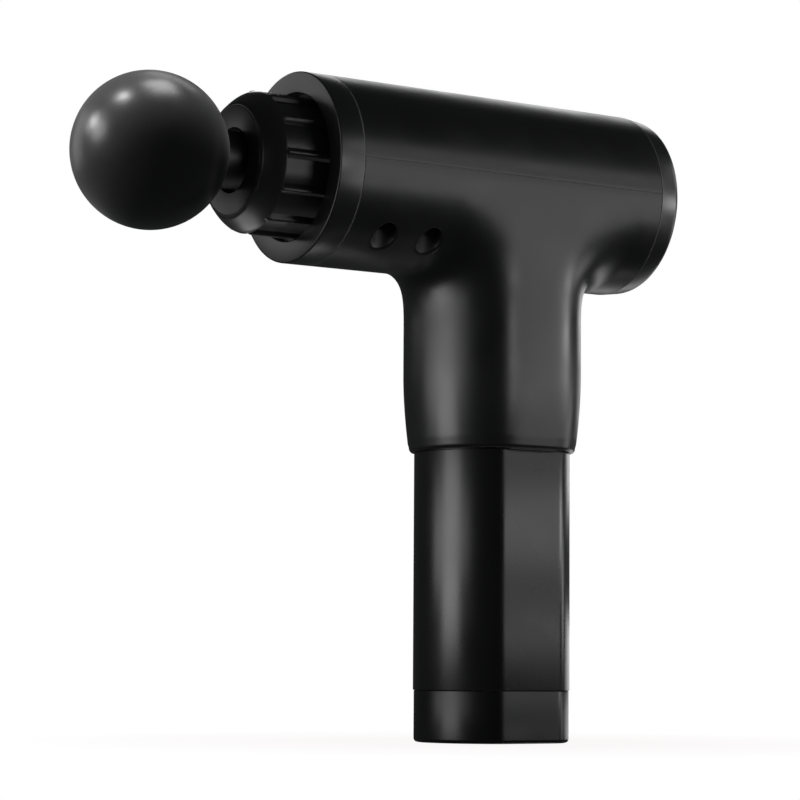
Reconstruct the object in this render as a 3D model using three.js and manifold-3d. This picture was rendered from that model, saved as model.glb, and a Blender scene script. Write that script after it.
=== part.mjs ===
// Cordless massage gun: a round barrel with a reciprocating ball head at its front and a control
// panel at its rear, on a round handle whose lower half is a slide-out battery pack.
// Millimetres, +Z up, -X towards the ball head. The origin is the centre of the pack's flat base.

import * as THREE from "three";
import { mergeVertices } from "three/addons/utils/BufferGeometryUtils.js";
import Module from "manifold-3d";

const wasm = await Module();
wasm.setup();

// ---- Driving dimensions ---------------------------------------------------------------------

const GAP = 0.3; // between pieces that touch on the real object

// Barrel. X positions are along its axis.
const AXIS_Z = 184.5;
const BARREL_R = 31;
const BARREL_INNER_R = 28.6;
const FACE_X = -80;
const FRONT_SEAM_X = -71;
const REAR_SEAM_X = 48.5;
const REAR_X = 57;

// Nose collar and its countersunk mouth
const NOSE_TIP_X = -101.7;
const NOSE_R = 22.9;
const NOSE_PANEL_R = 21.8;
const NOSE_RIB_R = 23.4;
const NOSE_RIBS = 12;
const NOSE_RIB_WIDTH = 3.4;
const NOSE_INNER_R = 16.2;
const MOUTH_R = 10.5;
const WIPER_R = 9.75; // a lip behind the mouth that runs close to the stem

// Ball head and the stem that plugs into the piston
const BALL_R = 25;
const BALL_X = -131;
const STEM_R = 9.3;
const STEM_END_X = -58.6;

// Crank drive: the motor's axis crosses the barrel's axis at X = 0
const CRANK_R = 5; // half of the stroke
const PISTON_R = 12.4;
const SOCKET_R = 9.6;
const ROTOR_R = 22;
const SHAFT_R = 2.5;
const PIN_R = 3;
const ROLLER_R = 6.4;

// Handle sleeve and battery pack. A flat is where the round section is cut off at each side.
const HANDLE_R = 29.8;
const HANDLE_FLAT = 28.1;
const LIP_Z = 96;
const LEDGE_Z = 123.5;
const PACK_R = 26;
const PACK_FLAT = 23;
const SPIGOT_R = 24.6;
const SPIGOT_FLAT = 22.8;
const CAP_R = 25.7;
const CAP_FLAT = 22.7;
const CAP_Z = 17;
const CELL_R = 9.1;
const CELL_OFFSET = 9.5;
const CELL_HEIGHT = 65;

// Facets round a full turn
const FINE = 32;
const MEDIUM = 20;
const COARSE = 12;

// ---- Solids from three.js geometry ----------------------------------------------------------

// A closed geometry as a manifold-3d solid with its faces pointing out.
function solidOf(geometry) {
  const bare = geometry.index ? geometry.toNonIndexed() : geometry.clone();
  bare.deleteAttribute("normal");
  bare.deleteAttribute("uv");
  const merged = mergeVertices(bare, 1e-4);
  const index = merged.index.array;
  const faces = [];
  for (let i = 0; i < index.length; i += 3) {
    const [a, b, c] = [index[i], index[i + 1], index[i + 2]];
    if (a !== b && b !== c && c !== a) faces.push([a, b, c]);
  }
  const make = (list) =>
    new wasm.Manifold(
      new wasm.Mesh({
        numProp: 3,
        vertProperties: merged.attributes.position.array,
        triVerts: Uint32Array.from(list.flat()),
      }),
    );
  const made = make(faces);
  return made.volume() > 0 ? made : make(faces.map(([a, b, c]) => [a, c, b]));
}

function geometryOf(solid) {
  const mesh = solid.getMesh();
  const geometry = new THREE.BufferGeometry();
  geometry.setAttribute("position", new THREE.BufferAttribute(mesh.vertProperties, mesh.numProp));
  geometry.setIndex(new THREE.BufferAttribute(mesh.triVerts, 1));
  const faceted = geometry.toNonIndexed();
  faceted.computeVertexNormals();
  return faceted;
}

const join = (first, ...others) => others.reduce((sum, other) => sum.add(other), first);
const cut = (first, ...others) => others.reduce((rest, other) => rest.subtract(other), first);
const common = (first, other) => first.intersect(other);

// A solid turned about X from a profile of [x, radius] points. A profile that leaves the axis is
// closed on itself, which makes a ring.
function turnedX(profile, facets = FINE) {
  const points = profile.map(([x, radius]) => new THREE.Vector2(radius, x));
  if (profile[0][1] > 0) points.push(points[0].clone());
  return solidOf(new THREE.LatheGeometry(points, facets).rotateZ(-Math.PI / 2));
}

// The same about Z, from a profile of [radius, z] points.
function turnedZ(profile, facets = FINE) {
  const points = profile.map(([radius, z]) => new THREE.Vector2(radius, z));
  if (profile[0][0] > 0) points.push(points[0].clone());
  return solidOf(new THREE.LatheGeometry(points, facets).rotateX(Math.PI / 2));
}

const rodX = (radius, x0, x1, facets = MEDIUM) =>
  turnedX([[x0, 0], [x0, radius], [x1, radius], [x1, 0]], facets);
const rodZ = (radius, z0, z1, facets = MEDIUM) =>
  turnedZ([[0, z0], [radius, z0], [radius, z1], [0, z1]], facets);
const ringX = (inner, outer, x0, x1, facets = FINE) =>
  turnedX([[x0, inner], [x0, outer], [x1, outer], [x1, inner]], facets);
const ringZ = (inner, outer, z0, z1, facets = MEDIUM) =>
  turnedZ([[inner, z0], [outer, z0], [outer, z1], [inner, z1]], facets);

function box([x0, x1], [y0, y1], [z0, z1]) {
  const geometry = new THREE.BoxGeometry(x1 - x0, y1 - y0, z1 - z0);
  geometry.translate((x0 + x1) / 2, (y0 + y1) / 2, (z0 + z1) / 2);
  return solidOf(geometry);
}

const moved = (solid, x, y = 0, z = 0) => solid.translate([x, y, z]);
const both = (half) => [-half, half];

// A flat outline standing from z0 to z1.
function extruded(shape, z0, z1, curveSegments = 6) {
  const settings = { depth: z1 - z0, bevelEnabled: false, curveSegments };
  return solidOf(new THREE.ExtrudeGeometry(shape, settings).translate(0, 0, z0));
}

// A circle with a flat at +Y and at -Y.
function flattedCircle(radius, flat) {
  const turn = Math.asin(flat / radius);
  const shape = new THREE.Shape();
  shape.absarc(0, 0, radius, -turn, turn, false);
  shape.absarc(0, 0, radius, Math.PI - turn, Math.PI + turn, false);
  shape.closePath();
  return shape;
}

const flattedPrism = (radius, flat, z0, z1) => extruded(flattedCircle(radius, flat), z0, z1);

// A solid through a stack of rings with equal numbers of points, closed by a fan at each end.
function lofted(rings, lowCentre, highCentre) {
  const corners = [];
  const count = rings[0].length;
  const triangle = (...points) => points.forEach((p) => corners.push(p.x, p.y, p.z));
  for (let i = 0; i < count; i++) {
    const j = (i + 1) % count;
    triangle(lowCentre, rings[0][j], rings[0][i]);
    triangle(highCentre, rings.at(-1)[i], rings.at(-1)[j]);
    for (let k = 0; k + 1 < rings.length; k++) {
      triangle(rings[k][i], rings[k][j], rings[k + 1][j]);
      triangle(rings[k][i], rings[k + 1][j], rings[k + 1][i]);
    }
  }
  const geometry = new THREE.BufferGeometry();
  geometry.setAttribute("position", new THREE.Float32BufferAttribute(corners, 3));
  return solidOf(geometry);
}

// ---- Materials and the scene graph ----------------------------------------------------------

const finish = (color, roughness, metalness = 0) => ({ color, roughness, metalness });
const SATIN_BLACK = finish(0x17191a, 0.42);
const GLOSS_BLACK = finish(0x0b0c0d, 0.12);
const FOAM_BLACK = finish(0x101011, 0.75);
const RUBBER = finish(0x141414, 0.9);
const ALUMINIUM = finish(0xa8abad, 0.35, 1);
const STEEL = finish(0x8c8f92, 0.3, 1);
const BRONZE = finish(0xa67c48, 0.4, 1);
const COPPER = finish(0xb8693a, 0.4, 1);
const BOARD_GREEN = finish(0x1d5a34, 0.5);
const CELL_WRAP = finish(0x2f6f9e, 0.45);
const NYLON = finish(0xd8d6cc, 0.5);
const LIGHT_GUIDE = finish(0xcfe3ee, 0.25);

const gun = new THREE.Group();
const barrel = new THREE.Group(); // its own origin is on the barrel's axis, over the handle
barrel.position.z = AXIS_Z;
const pack = new THREE.Group();
gun.add(barrel, pack);

function addAt(group, name, solid, look, x, y, z) {
  const mesh = new THREE.Mesh(geometryOf(solid), new THREE.MeshStandardMaterial(look));
  mesh.name = name;
  mesh.position.set(x, y, z);
  group.add(mesh);
}

const add = (group, name, solid, look) => addAt(group, name, solid, look, 0, 0, 0);

// ---- Barrel casing --------------------------------------------------------------------------

const WELL_XS = [-57, -39.6];
const WELL_Y = 20.1;
const WELL_R = 4;
const WELL_FLOOR_Z = -12.5; // measured from the barrel's axis, like every size in its group
const BOSS_R = 5.3;
const SCREW_HOLE_R = 1.8;
const wellPlaces = WELL_XS.flatMap((x) => [[x, -WELL_Y], [x, WELL_Y]]);

const casingTube = () =>
  ringX(BARREL_INNER_R, BARREL_R, FRONT_SEAM_X + GAP / 2, REAR_SEAM_X - GAP / 2);

// Screw bosses, trimmed to stay inside the casing.
function bosses(z0, z1) {
  const inside = rodX(BARREL_R - 1, FRONT_SEAM_X, REAR_SEAM_X, FINE);
  return wellPlaces.map(([x, y]) => common(moved(rodZ(BOSS_R, z0, z1, COARSE), x, y), inside));
}

const bossHoles = (radius, z0, z1) =>
  wellPlaces.map(([x, y]) => moved(rodZ(radius, z0, z1, COARSE), x, y));

function upperCasing() {
  const half = common(casingTube(), box([-90, 60], both(40), [GAP / 2, 40]));
  const shell = join(half, ...bosses(GAP / 2, 29));
  return cut(shell, ...bossHoles(SCREW_HOLE_R, -1, 13));
}

// The sleeve narrows a little towards its lip.
const TAPER_TOP_Z = 122;
const LIP_TAPER = 2;
const taper = (z) => LIP_TAPER * Math.max(0, (TAPER_TOP_Z - z) / (TAPER_TOP_Z - LIP_Z)) ** 1.8;

// The handle flares into the barrel. The flare's foot is a rounded oblong in the barrel's unrolled
// surface: X one way and the turn from straight down the other way.
const FLARE_Z = 138.5;
const FOOT_X = 39.4;
const FOOT_TURN = (85 * Math.PI) / 180;
const FOOT_SPREAD = 7; // how far the foot's rear corners stand further back
const CORNER = 0.36; // turns the corners of the handle's flats towards the foot's own corners
const FLARE_TUCK = 0.6; // the flare's last ring lies this far inside the barrel

// The reach of a round outline in the direction of an angle, eased into flats at its sides.
function easedReach(angle, radius, flat, ease) {
  const toFlat = flat / Math.max(Math.abs(Math.sin(angle)), 1e-6);
  return (radius ** -ease + toFlat ** -ease) ** (-1 / ease);
}

const handleReach = (angle) => easedReach(angle, HANDLE_R, HANDLE_FLAT, 26);

const onBarrel = (x, turn, radius) =>
  new THREE.Vector3(x, radius * Math.sin(turn), AXIS_Z - radius * Math.cos(turn));

// The flare's foot in one direction, as [x, turn]. It is squarer behind than ahead.
function flareFoot(angle) {
  const along = Math.cos(angle);
  const across = CORNER * Math.sin(angle);
  const power = 4.5 + 1.5 * along;
  const reach = (Math.abs(along) ** power + Math.abs(across) ** power) ** (-1 / power);
  const side = across * reach;
  const spread = along > 0 ? FOOT_SPREAD * side ** 2 : 0;
  return [along * reach * (FOOT_X + spread), FOOT_TURN * side];
}

// The flare's curve in one direction: upright on the handle, and on the barrel along its surface.
function flareCurve(angle) {
  const reach = handleReach(angle);
  const start = new THREE.Vector3(reach * Math.cos(angle), reach * Math.sin(angle), FLARE_Z);
  const [x, turn] = flareFoot(angle);
  const end = onBarrel(x, turn, BARREL_R);
  const arc = turn * BARREL_R;
  const outward = new THREE.Vector3(x, arc * Math.cos(turn), arc * Math.sin(turn)).normalize();
  const span = start.distanceTo(end);
  const rise = start.clone().add(new THREE.Vector3(0, 0, span * 0.56));
  const arrive = end.clone().addScaledVector(outward, -span * 0.36);
  return new THREE.CubicBezierCurve3(start, rise, arrive, end);
}

function handleSkin() {
  const COLUMNS = 36;
  const angles = Array.from({ length: COLUMNS }, (_, i) => (i * 2 * Math.PI) / COLUMNS);
  const upright = (z, inset) =>
    angles.map((angle) => {
      const reach = handleReach(angle) - inset;
      return new THREE.Vector3(reach * Math.cos(angle), reach * Math.sin(angle), z);
    });
  const rings = [upright(LIP_Z, LIP_TAPER + 0.6)];
  for (const z of [LIP_Z + 0.8, 104, TAPER_TOP_Z]) rings.push(upright(z, taper(z)));
  for (const t of [0, 0.25, 0.5, 0.75]) {
    rings.push(angles.map((angle) => flareCurve(angle).getPoint(t)));
  }
  rings.push(angles.map((angle) => onBarrel(...flareFoot(angle), BARREL_R - FLARE_TUCK)));
  return lofted(rings, new THREE.Vector3(0, 0, LIP_Z), new THREE.Vector3(0, 0, AXIS_Z - 14));
}

const CATCH_Z = [99.5, 121];

function lowerCasing() {
  const belowAxis = box([-90, 60], both(40), [-100, -GAP / 2]);
  const skin = moved(handleSkin(), 0, 0, -AXIS_Z);
  const tube = rodX(BARREL_R, FRONT_SEAM_X + GAP / 2, REAR_SEAM_X - GAP / 2, FINE);
  const hollows = [
    rodX(BARREL_INNER_R, -90, 60, FINE),
    flattedPrism(HANDLE_R - 3.4, HANDLE_FLAT - 3.5, LEDGE_Z - AXIS_Z, 1),
    flattedPrism(SPIGOT_R + 0.4, SPIGOT_FLAT + 0.4, LIP_Z - AXIS_Z - 10, LEDGE_Z - AXIS_Z + 1),
  ];
  const pockets = [-1, 1].map((side) => {
    const pocket = box([SPIGOT_R - 0.6, 26.1], both(4), [CATCH_Z[0] - 1, CATCH_Z[1] + 1]);
    return moved(side > 0 ? pocket : pocket.mirror([1, 0, 0]), 0, 0, -AXIS_Z);
  });
  const padSeats = [-29.7, 29.7].map((x) =>
    common(box([x - 3, x + 3], both(11), [-30, -26]), rodX(BARREL_R - 1, -60, 60, FINE)),
  );
  const hollowed = cut(common(join(skin, tube), belowAxis), ...hollows, ...pockets);
  const fitted = join(hollowed, ...padSeats, ...bosses(-30, -GAP / 2));
  const wells = bossHoles(WELL_R, -40, WELL_FLOOR_Z);
  return cut(fitted, ...wells, ...bossHoles(SCREW_HOLE_R, -20, 1));
}

// A pan-head screw with a hex socket, its shank up and the underside of its head at z = 0.
function screw(headR, headHeight, shankR, length) {
  const profile = [
    [0, -headHeight], [headR * 0.8, -headHeight], [headR, -headHeight * 0.5],
    [headR, 0], [shankR, 0], [shankR, length], [0, length],
  ];
  const socket = rodZ(headR * 0.5, -headHeight - 1, -headHeight * 0.4, 6);
  return cut(turnedZ(profile, COARSE), socket);
}

function addCasing() {
  add(barrel, "upper_casing", upperCasing(), SATIN_BLACK);
  add(barrel, "lower_casing", lowerCasing(), SATIN_BLACK);
  const casingScrew = screw(3.3, 2.2, 1.35, 22);
  wellPlaces.forEach(([x, y], i) => {
    const place = [x, y, WELL_FLOOR_Z - GAP];
    addAt(barrel, `casing_screw_${i + 1}`, casingScrew, STEEL, ...place);
  });

  const faceRing = turnedX([
    [FACE_X, NOSE_RIB_R + 0.5], [FACE_X, BARREL_R - 0.9], [FACE_X + 0.9, BARREL_R],
    [FRONT_SEAM_X - GAP / 2, BARREL_R], [FRONT_SEAM_X - GAP / 2, 27.4],
    [FACE_X + 2.8, 27.4], [FACE_X + 2.8, NOSE_RIB_R + 0.5],
  ]);
  add(barrel, "front_ring", faceRing, SATIN_BLACK);

  const tailRing = turnedX([
    [REAR_SEAM_X + GAP / 2, 28.3], [REAR_SEAM_X + GAP / 2, BARREL_R],
    [REAR_X - 2.2, BARREL_R], [REAR_X - 0.7, BARREL_R - 0.6], [REAR_X, BARREL_R - 2],
    [REAR_X, 26.6], [REAR_X - 0.8, 25.8], [REAR_X - 3.7, 25.8],
    [REAR_X - 3.7, 23.5], [REAR_X - 5.7, 23.5], [REAR_X - 5.7, 28.3],
  ]);
  add(barrel, "rear_ring", tailRing, SATIN_BLACK);
}

// ---- Nose: ribbed collar, its mounting plate and the piston's guide ---------------------------

const FLANGE_X = FACE_X + 3.1;
const NOSE_REAR_X = FLANGE_X + 3;

function noseCollar() {
  const PANEL_X = -94.7;
  const body = turnedX([
    [NOSE_TIP_X, MOUTH_R], [NOSE_TIP_X, 17.7], [NOSE_TIP_X + 0.4, 18.4],
    [PANEL_X, NOSE_R], [PANEL_X + 1, NOSE_PANEL_R], [FLANGE_X, NOSE_PANEL_R],
    [FLANGE_X, 26.5], [NOSE_REAR_X, 26.5], [NOSE_REAR_X, NOSE_INNER_R],
    [NOSE_TIP_X + 5.4, NOSE_INNER_R], [NOSE_TIP_X + 5.4, WIPER_R],
    [NOSE_TIP_X + 4.4, WIPER_R], [NOSE_TIP_X + 4.4, MOUTH_R],
  ], 2 * NOSE_RIBS);
  const profile = new THREE.Shape([
    new THREE.Vector2(FLANGE_X + 0.5, 21), new THREE.Vector2(PANEL_X - 1.2, 21),
    new THREE.Vector2(PANEL_X - 1.7, 22), new THREE.Vector2(PANEL_X, NOSE_RIB_R),
    new THREE.Vector2(FLANGE_X + 0.5, NOSE_RIB_R),
  ]);
  const rib = extruded(profile, ...both(NOSE_RIB_WIDTH / 2)).rotate([90, 0, 0]);
  const ribs = Array.from({ length: NOSE_RIBS }, (_, i) =>
    rib.rotate([(i * 360) / NOSE_RIBS, 0, 0]),
  );
  return join(body, ...ribs);
}

function addNose() {
  add(barrel, "nose_collar", noseCollar(), GLOSS_BLACK);
  const plate = turnedX([
    [NOSE_REAR_X + GAP, 19.9], [NOSE_REAR_X + GAP, 27], [NOSE_REAR_X + 3, 27],
    [NOSE_REAR_X + 3, 23], [NOSE_REAR_X + 9, 23], [NOSE_REAR_X + 9, 19.9],
  ], MEDIUM);
  add(barrel, "nose_plate", plate, ALUMINIUM);
  const bush = ringX(PISTON_R + 0.35, NOSE_INNER_R - GAP, -95.9, -66, MEDIUM);
  add(barrel, "guide_bush", bush, BRONZE);
  const damper = ringX(NOSE_INNER_R + 0.1, 19.5, NOSE_REAR_X + GAP, -65.5, MEDIUM);
  add(barrel, "bush_damper", damper, RUBBER);
}

// ---- Motor: an outrunner hanging under a plate, its shaft upright -----------------------------

const PLATE_Z = [-16.5, -13.5];
const TUBE_R = 7;
const TUBE_BORE_R = 5.4;
const TUBE_LOW_Z = -38;

function motorPlate() {
  const plate = box(both(33), both(19.5), PLATE_Z);
  const carrier = rodZ(TUBE_R, TUBE_LOW_Z, PLATE_Z[0] + 0.5);
  return cut(join(plate, carrier), rodZ(TUBE_BORE_R, TUBE_LOW_Z - 1, 0));
}

function stator() {
  const TEETH = 9;
  const z = [-35.5, -21.5];
  const core = rodZ(10.5, ...z);
  const parts = Array.from({ length: TEETH }, (_, i) => {
    const tooth = box([9, 17.2], both(1.6), z);
    const coil = box([11.2, 15.4], both(2.9), [z[0] - 1.5, z[1] + 1.5]);
    return join(tooth, coil).rotate([0, 0, (i * 360) / TEETH]);
  });
  return cut(join(core, ...parts), rodZ(TUBE_R + 0.4, -40, -20));
}

function addMotor() {
  add(barrel, "motor_plate", motorPlate(), ALUMINIUM);
  add(barrel, "motor_stator", stator(), COPPER);
  const bearing = ringZ(SHAFT_R + 0.3, TUBE_BORE_R - 0.35, 0, 4, COARSE);
  addAt(barrel, "motor_bearing_lower", bearing, STEEL, 0, 0, TUBE_LOW_Z);
  addAt(barrel, "motor_bearing_upper", bearing, STEEL, 0, 0, -18);

  // Rubber blocks between the plate and the casing, curved below to follow the barrel.
  const block = common(
    box(both(2.7), both(10.5), [-25.7, PLATE_Z[0] - GAP]),
    rodX(BARREL_INNER_R - GAP, -5, 5, FINE),
  );
  addAt(barrel, "plate_damper_front", block, RUBBER, -29.7, 0, 0);
  addAt(barrel, "plate_damper_rear", block, RUBBER, 29.7, 0, 0);

  const can = turnedZ([
    [SHAFT_R + 0.3, -41.5], [ROTOR_R - 1, -41.5], [ROTOR_R, -40.5], [ROTOR_R, -19.5],
    [20, -19.5], [20, -39.5], [SHAFT_R + 0.3, -39.5],
  ], MEDIUM);
  add(barrel, "rotor_can", can, ALUMINIUM);
  add(barrel, "magnet_ring", ringZ(17.9, 19.4, -37, -20.5), STEEL);
}

// ---- Crank, yoke and piston: the roller on the crank pin drives a slotted yoke ------------------

const DISC_Z = [-13, -8.3];
const SHAFT_TOP_Z = -11.1;
const PIN_LOW_Z = -10.3;
const YOKE_Z = [-7.9, 4];
const YOKE_HALF_X = 12.4;
const WEAR_RING_R = [8.6, 11];
const YOKE_SCREW_Y = 10.2;

// A round disc with a counterweight lobe on the side away from the pin.
function crankDisc() {
  const LOBE_R = 20;
  const lobe = new THREE.Shape();
  lobe.absarc(0, 0, LOBE_R, Math.PI - 1.05, Math.PI + 1.05, false);
  lobe.closePath();
  const disc = join(rodZ(13, ...DISC_Z), extruded(lobe, ...DISC_Z));
  const shaftHole = rodZ(SHAFT_R + 0.3, DISC_Z[0] - 1, SHAFT_TOP_Z + 0.2, COARSE);
  const pinHole = moved(rodZ(PIN_R + 0.3, PIN_LOW_Z - 0.2, DISC_Z[1] + 1, COARSE), CRANK_R);
  return cut(disc, shaftHole, pinHole);
}

function yoke() {
  const block = box(both(YOKE_HALF_X), both(15.5), YOKE_Z);
  const slot = box(both(ROLLER_R + 0.3), both(CRANK_R + ROLLER_R + 0.5), [-9, 9]);
  const recess = rodZ(WEAR_RING_R[1] + 0.3, YOKE_Z[0] - 1, YOKE_Z[0] + 3.6);
  const holes = [-YOKE_SCREW_Y, YOKE_SCREW_Y].map((y) => moved(rodX(1.7, -14, -7.3, COARSE), 0, y));
  return cut(block, slot, recess, ...holes);
}

// The piston's socket opens to the front. Its neck ends in a flange that is screwed to the yoke.
function piston() {
  const FLANGE_REAR_X = CRANK_R - YOKE_HALF_X - GAP;
  const body = turnedX([
    [-58, 0], [-58, SOCKET_R], [-85, SOCKET_R], [-86, SOCKET_R + 0.8], [-86, PISTON_R],
    [-48, PISTON_R], [-44, 7], [FLANGE_REAR_X - 2, 7], [FLANGE_REAR_X - 2, 0],
  ], MEDIUM);
  const flange = box([FLANGE_REAR_X - 4, FLANGE_REAR_X], both(13.2), [-5.5, 4]);
  const holes = [-YOKE_SCREW_Y, YOKE_SCREW_Y].map((y) => moved(rodX(1.7, -14, -7, COARSE), 0, y));
  return cut(join(body, flange), ...holes);
}

function addDrive() {
  add(barrel, "motor_shaft", rodZ(SHAFT_R, -42.5, SHAFT_TOP_Z, COARSE), STEEL);
  add(barrel, "crank_disc", crankDisc(), STEEL);
  addAt(barrel, "crank_pin", rodZ(PIN_R, PIN_LOW_Z, 5.4, COARSE), STEEL, CRANK_R, 0, 0);
  addAt(barrel, "pin_roller", ringZ(PIN_R + 0.3, ROLLER_R, -3.8, 4, COARSE), STEEL, CRANK_R, 0, 0);
  const ring = ringZ(...WEAR_RING_R, YOKE_Z[0] + GAP, YOKE_Z[0] + 3.3);
  addAt(barrel, "wear_ring", ring, NYLON, CRANK_R, 0, 0);
  addAt(barrel, "yoke", yoke(), ALUMINIUM, CRANK_R, 0, 0);
  add(barrel, "piston", piston(), ALUMINIUM);
  const yokeScrew = screw(2.6, 1.8, 1.3, 9).rotate([0, 90, 0]);
  [-YOKE_SCREW_Y, YOKE_SCREW_Y].forEach((y, i) => {
    addAt(barrel, `yoke_screw_${i + 1}`, yokeScrew, STEEL, -12, y, 0);
  });
}

// ---- Ball head ------------------------------------------------------------------------------

const STEM_SHOULDER_X = -111.7;
const RING_GROOVE_XS = [-79.1, -67.1];
const RING_CORD_R = 0.55;

function ballHead() {
  const BALL_FACETS = 28;
  const STEPS = 10;
  const mouth = STEM_R + GAP;
  const last = Math.PI - Math.asin(mouth / BALL_R);
  const arc = Array.from({ length: STEPS + 1 }, (_, i) => {
    const angle = (last * i) / STEPS;
    return [BALL_X - BALL_R * Math.cos(angle), i ? BALL_R * Math.sin(angle) : 0];
  });
  return turnedX([
    ...arc, [STEM_SHOULDER_X - GAP, mouth], [STEM_SHOULDER_X - GAP, 6.4], [-126, 6.4], [-126, 0],
  ], BALL_FACETS);
}

function headStem() {
  const HALF_GROOVE = RING_CORD_R + 0.25;
  const grooves = RING_GROOVE_XS.flatMap((x) => [
    [x - HALF_GROOVE, STEM_R], [x - HALF_GROOVE, 8.05], [x + HALF_GROOVE, 8.05],
    [x + HALF_GROOVE, STEM_R],
  ]);
  const profile = [
    [-125.7, 0], [-125.7, 6], [STEM_SHOULDER_X, 6], [STEM_SHOULDER_X, STEM_R], ...grooves,
    [STEM_END_X - 1, STEM_R], [STEM_END_X, STEM_R - 1], [STEM_END_X, 0],
  ];
  return turnedX(profile, MEDIUM);
}

function addHead() {
  add(barrel, "ball_head", ballHead(), FOAM_BLACK);
  add(barrel, "head_stem", headStem(), SATIN_BLACK);
  const cord = new THREE.TorusGeometry(8.85, RING_CORD_R, 5, MEDIUM).rotateY(Math.PI / 2);
  RING_GROOVE_XS.forEach((x, i) => {
    addAt(barrel, `stem_o_ring_${i + 1}`, solidOf(cord), RUBBER, x, 0, 0);
  });
}

// ---- Rear panel and electronics ---------------------------------------------------------------

function addElectronics() {
  const PANEL_X = [REAR_X - 3.4, REAR_X - 0.8];
  add(barrel, "rear_panel", ringX(14.6, 25.5, ...PANEL_X), GLOSS_BLACK);
  add(barrel, "led_ring", ringX(12.2, 14.3, REAR_X - 7, REAR_X - 0.8, MEDIUM), LIGHT_GUIDE);
  const button = turnedX([
    [52, 0], [52, 3], [54.8, 3], [54.8, 11.8], [REAR_X - 1, 11.8], [REAR_X - 0.4, 10.6],
    [REAR_X - 0.4, 0],
  ], MEDIUM);
  add(barrel, "speed_button", button, SATIN_BLACK);
  add(barrel, "control_board", rodX(23, 47, 48.6), BOARD_GREEN);
  add(barrel, "button_switch", box([48.9, 50.9], both(3), both(3)), STEEL);
  add(barrel, "driver_board", rodX(25.5, 40, 41.6), BOARD_GREEN);
  addAt(barrel, "driver_capacitor", rodX(5, 27, 39.7, COARSE), CELL_WRAP, 0, 0, 12);
}

// ---- Battery pack and the bay it plugs into -----------------------------------------------------

const BLADE_X = 6;
const CELL_LOW_Z = 22;
const CAP_SCREW_Y = 16;
const SWITCH_X = 12.5;
const JACK_X = -12;

function batteryShell() {
  const outer = join(
    flattedPrism(PACK_R, PACK_FLAT, CAP_Z + GAP, LIP_Z - GAP),
    flattedPrism(SPIGOT_R, SPIGOT_FLAT, LIP_Z - 1, 121.6),
  );
  const hollow = join(
    flattedPrism(PACK_R - 2.4, PACK_FLAT - 2.4, CAP_Z - 1, LIP_Z - 4),
    flattedPrism(SPIGOT_R - 2.2, SPIGOT_FLAT - 2.2, LIP_Z - 5, 123),
  );
  const channel = box([SPIGOT_R - 1, SPIGOT_R + 1], both(4.4), [104, 123]);
  return cut(outer, hollow, channel, channel.mirror([1, 0, 0]));
}

const cellPlaces = both(CELL_OFFSET).flatMap((x) => both(CELL_OFFSET).map((y) => [x, y]));

// A tray that holds the ends of the four cells, with a window under each.
function cellHolder() {
  const FLOOR = 2.4;
  const HEIGHT = 8;
  const tray = flattedPrism(PACK_R - 2.8, PACK_FLAT - 2.8, 0, HEIGHT);
  const holes = cellPlaces.flatMap(([x, y]) => [
    moved(rodZ(CELL_R + GAP, FLOOR, HEIGHT + 1, COARSE), x, y),
    moved(rodZ(4, -1, FLOOR + 1, COARSE), x, y),
  ]);
  const screwHoles = both(CAP_SCREW_Y).map((y) => moved(rodZ(1.7, -1, HEIGHT + 1, 8), 0, y));
  return cut(tray, ...holes, ...screwHoles);
}

function bottomCap() {
  const FLOOR = 2.4;
  const cup = cut(
    flattedPrism(CAP_R, CAP_FLAT, 0, CAP_Z),
    flattedPrism(CAP_R - 2.2, CAP_FLAT - 2.2, FLOOR, CAP_Z + 1),
  );
  const posts = both(CAP_SCREW_Y).map((y) => moved(rodZ(4, 1, 16, COARSE), 0, y));
  const holes = [
    box([SWITCH_X - 5.3, SWITCH_X + 5.3], both(7.3), [-1, FLOOR + 1]),
    moved(rodZ(4.6, -1, FLOOR + 1, COARSE), JACK_X),
    ...both(CAP_SCREW_Y).map((y) => moved(rodZ(3.3, -1, 2.2, COARSE), 0, y)),
    ...both(CAP_SCREW_Y).map((y) => moved(rodZ(1.7, -1, 20, 8), 0, y)),
  ];
  return cut(join(cup, ...posts), ...holes);
}

function addSwitchAndJack() {
  const frame = cut(box(both(5), both(7), [0.5, 8]), box(both(4.4), both(6.4), [0, 7.2]));
  const body = join(frame, box(both(4.5), both(6), [7.5, 15.5]));
  addAt(pack, "switch_housing", body, GLOSS_BLACK, SWITCH_X, 0, 0);

  // The key's profile lies in the YZ plane, its pivot at the origin, and it rests tipped to "off".
  const OFF_TILT = -8;
  const profile = new THREE.Shape();
  [[-5.3, 0], [-5.6, -3.6], [0, -2.4], [5.6, -3.6], [5.3, 0]].forEach(([y, z], i) =>
    i ? profile.lineTo(y, z) : profile.moveTo(y, z),
  );
  const upright = extruded(profile, -4, 4).rotate([90, 0, 90]);
  addAt(pack, "rocker_key", upright.rotate([OFF_TILT, 0, 0]), GLOSS_BLACK, SWITCH_X, 0, 4.6);

  const socket = cut(rodZ(4.3, 0.8, 13, COARSE), rodZ(2.9, 0, 10, COARSE));
  const jack = join(socket, rodZ(1.05, 2.5, 11, 8));
  addAt(pack, "charging_jack", jack, GLOSS_BLACK, JACK_X, 0, 0);
}

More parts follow.
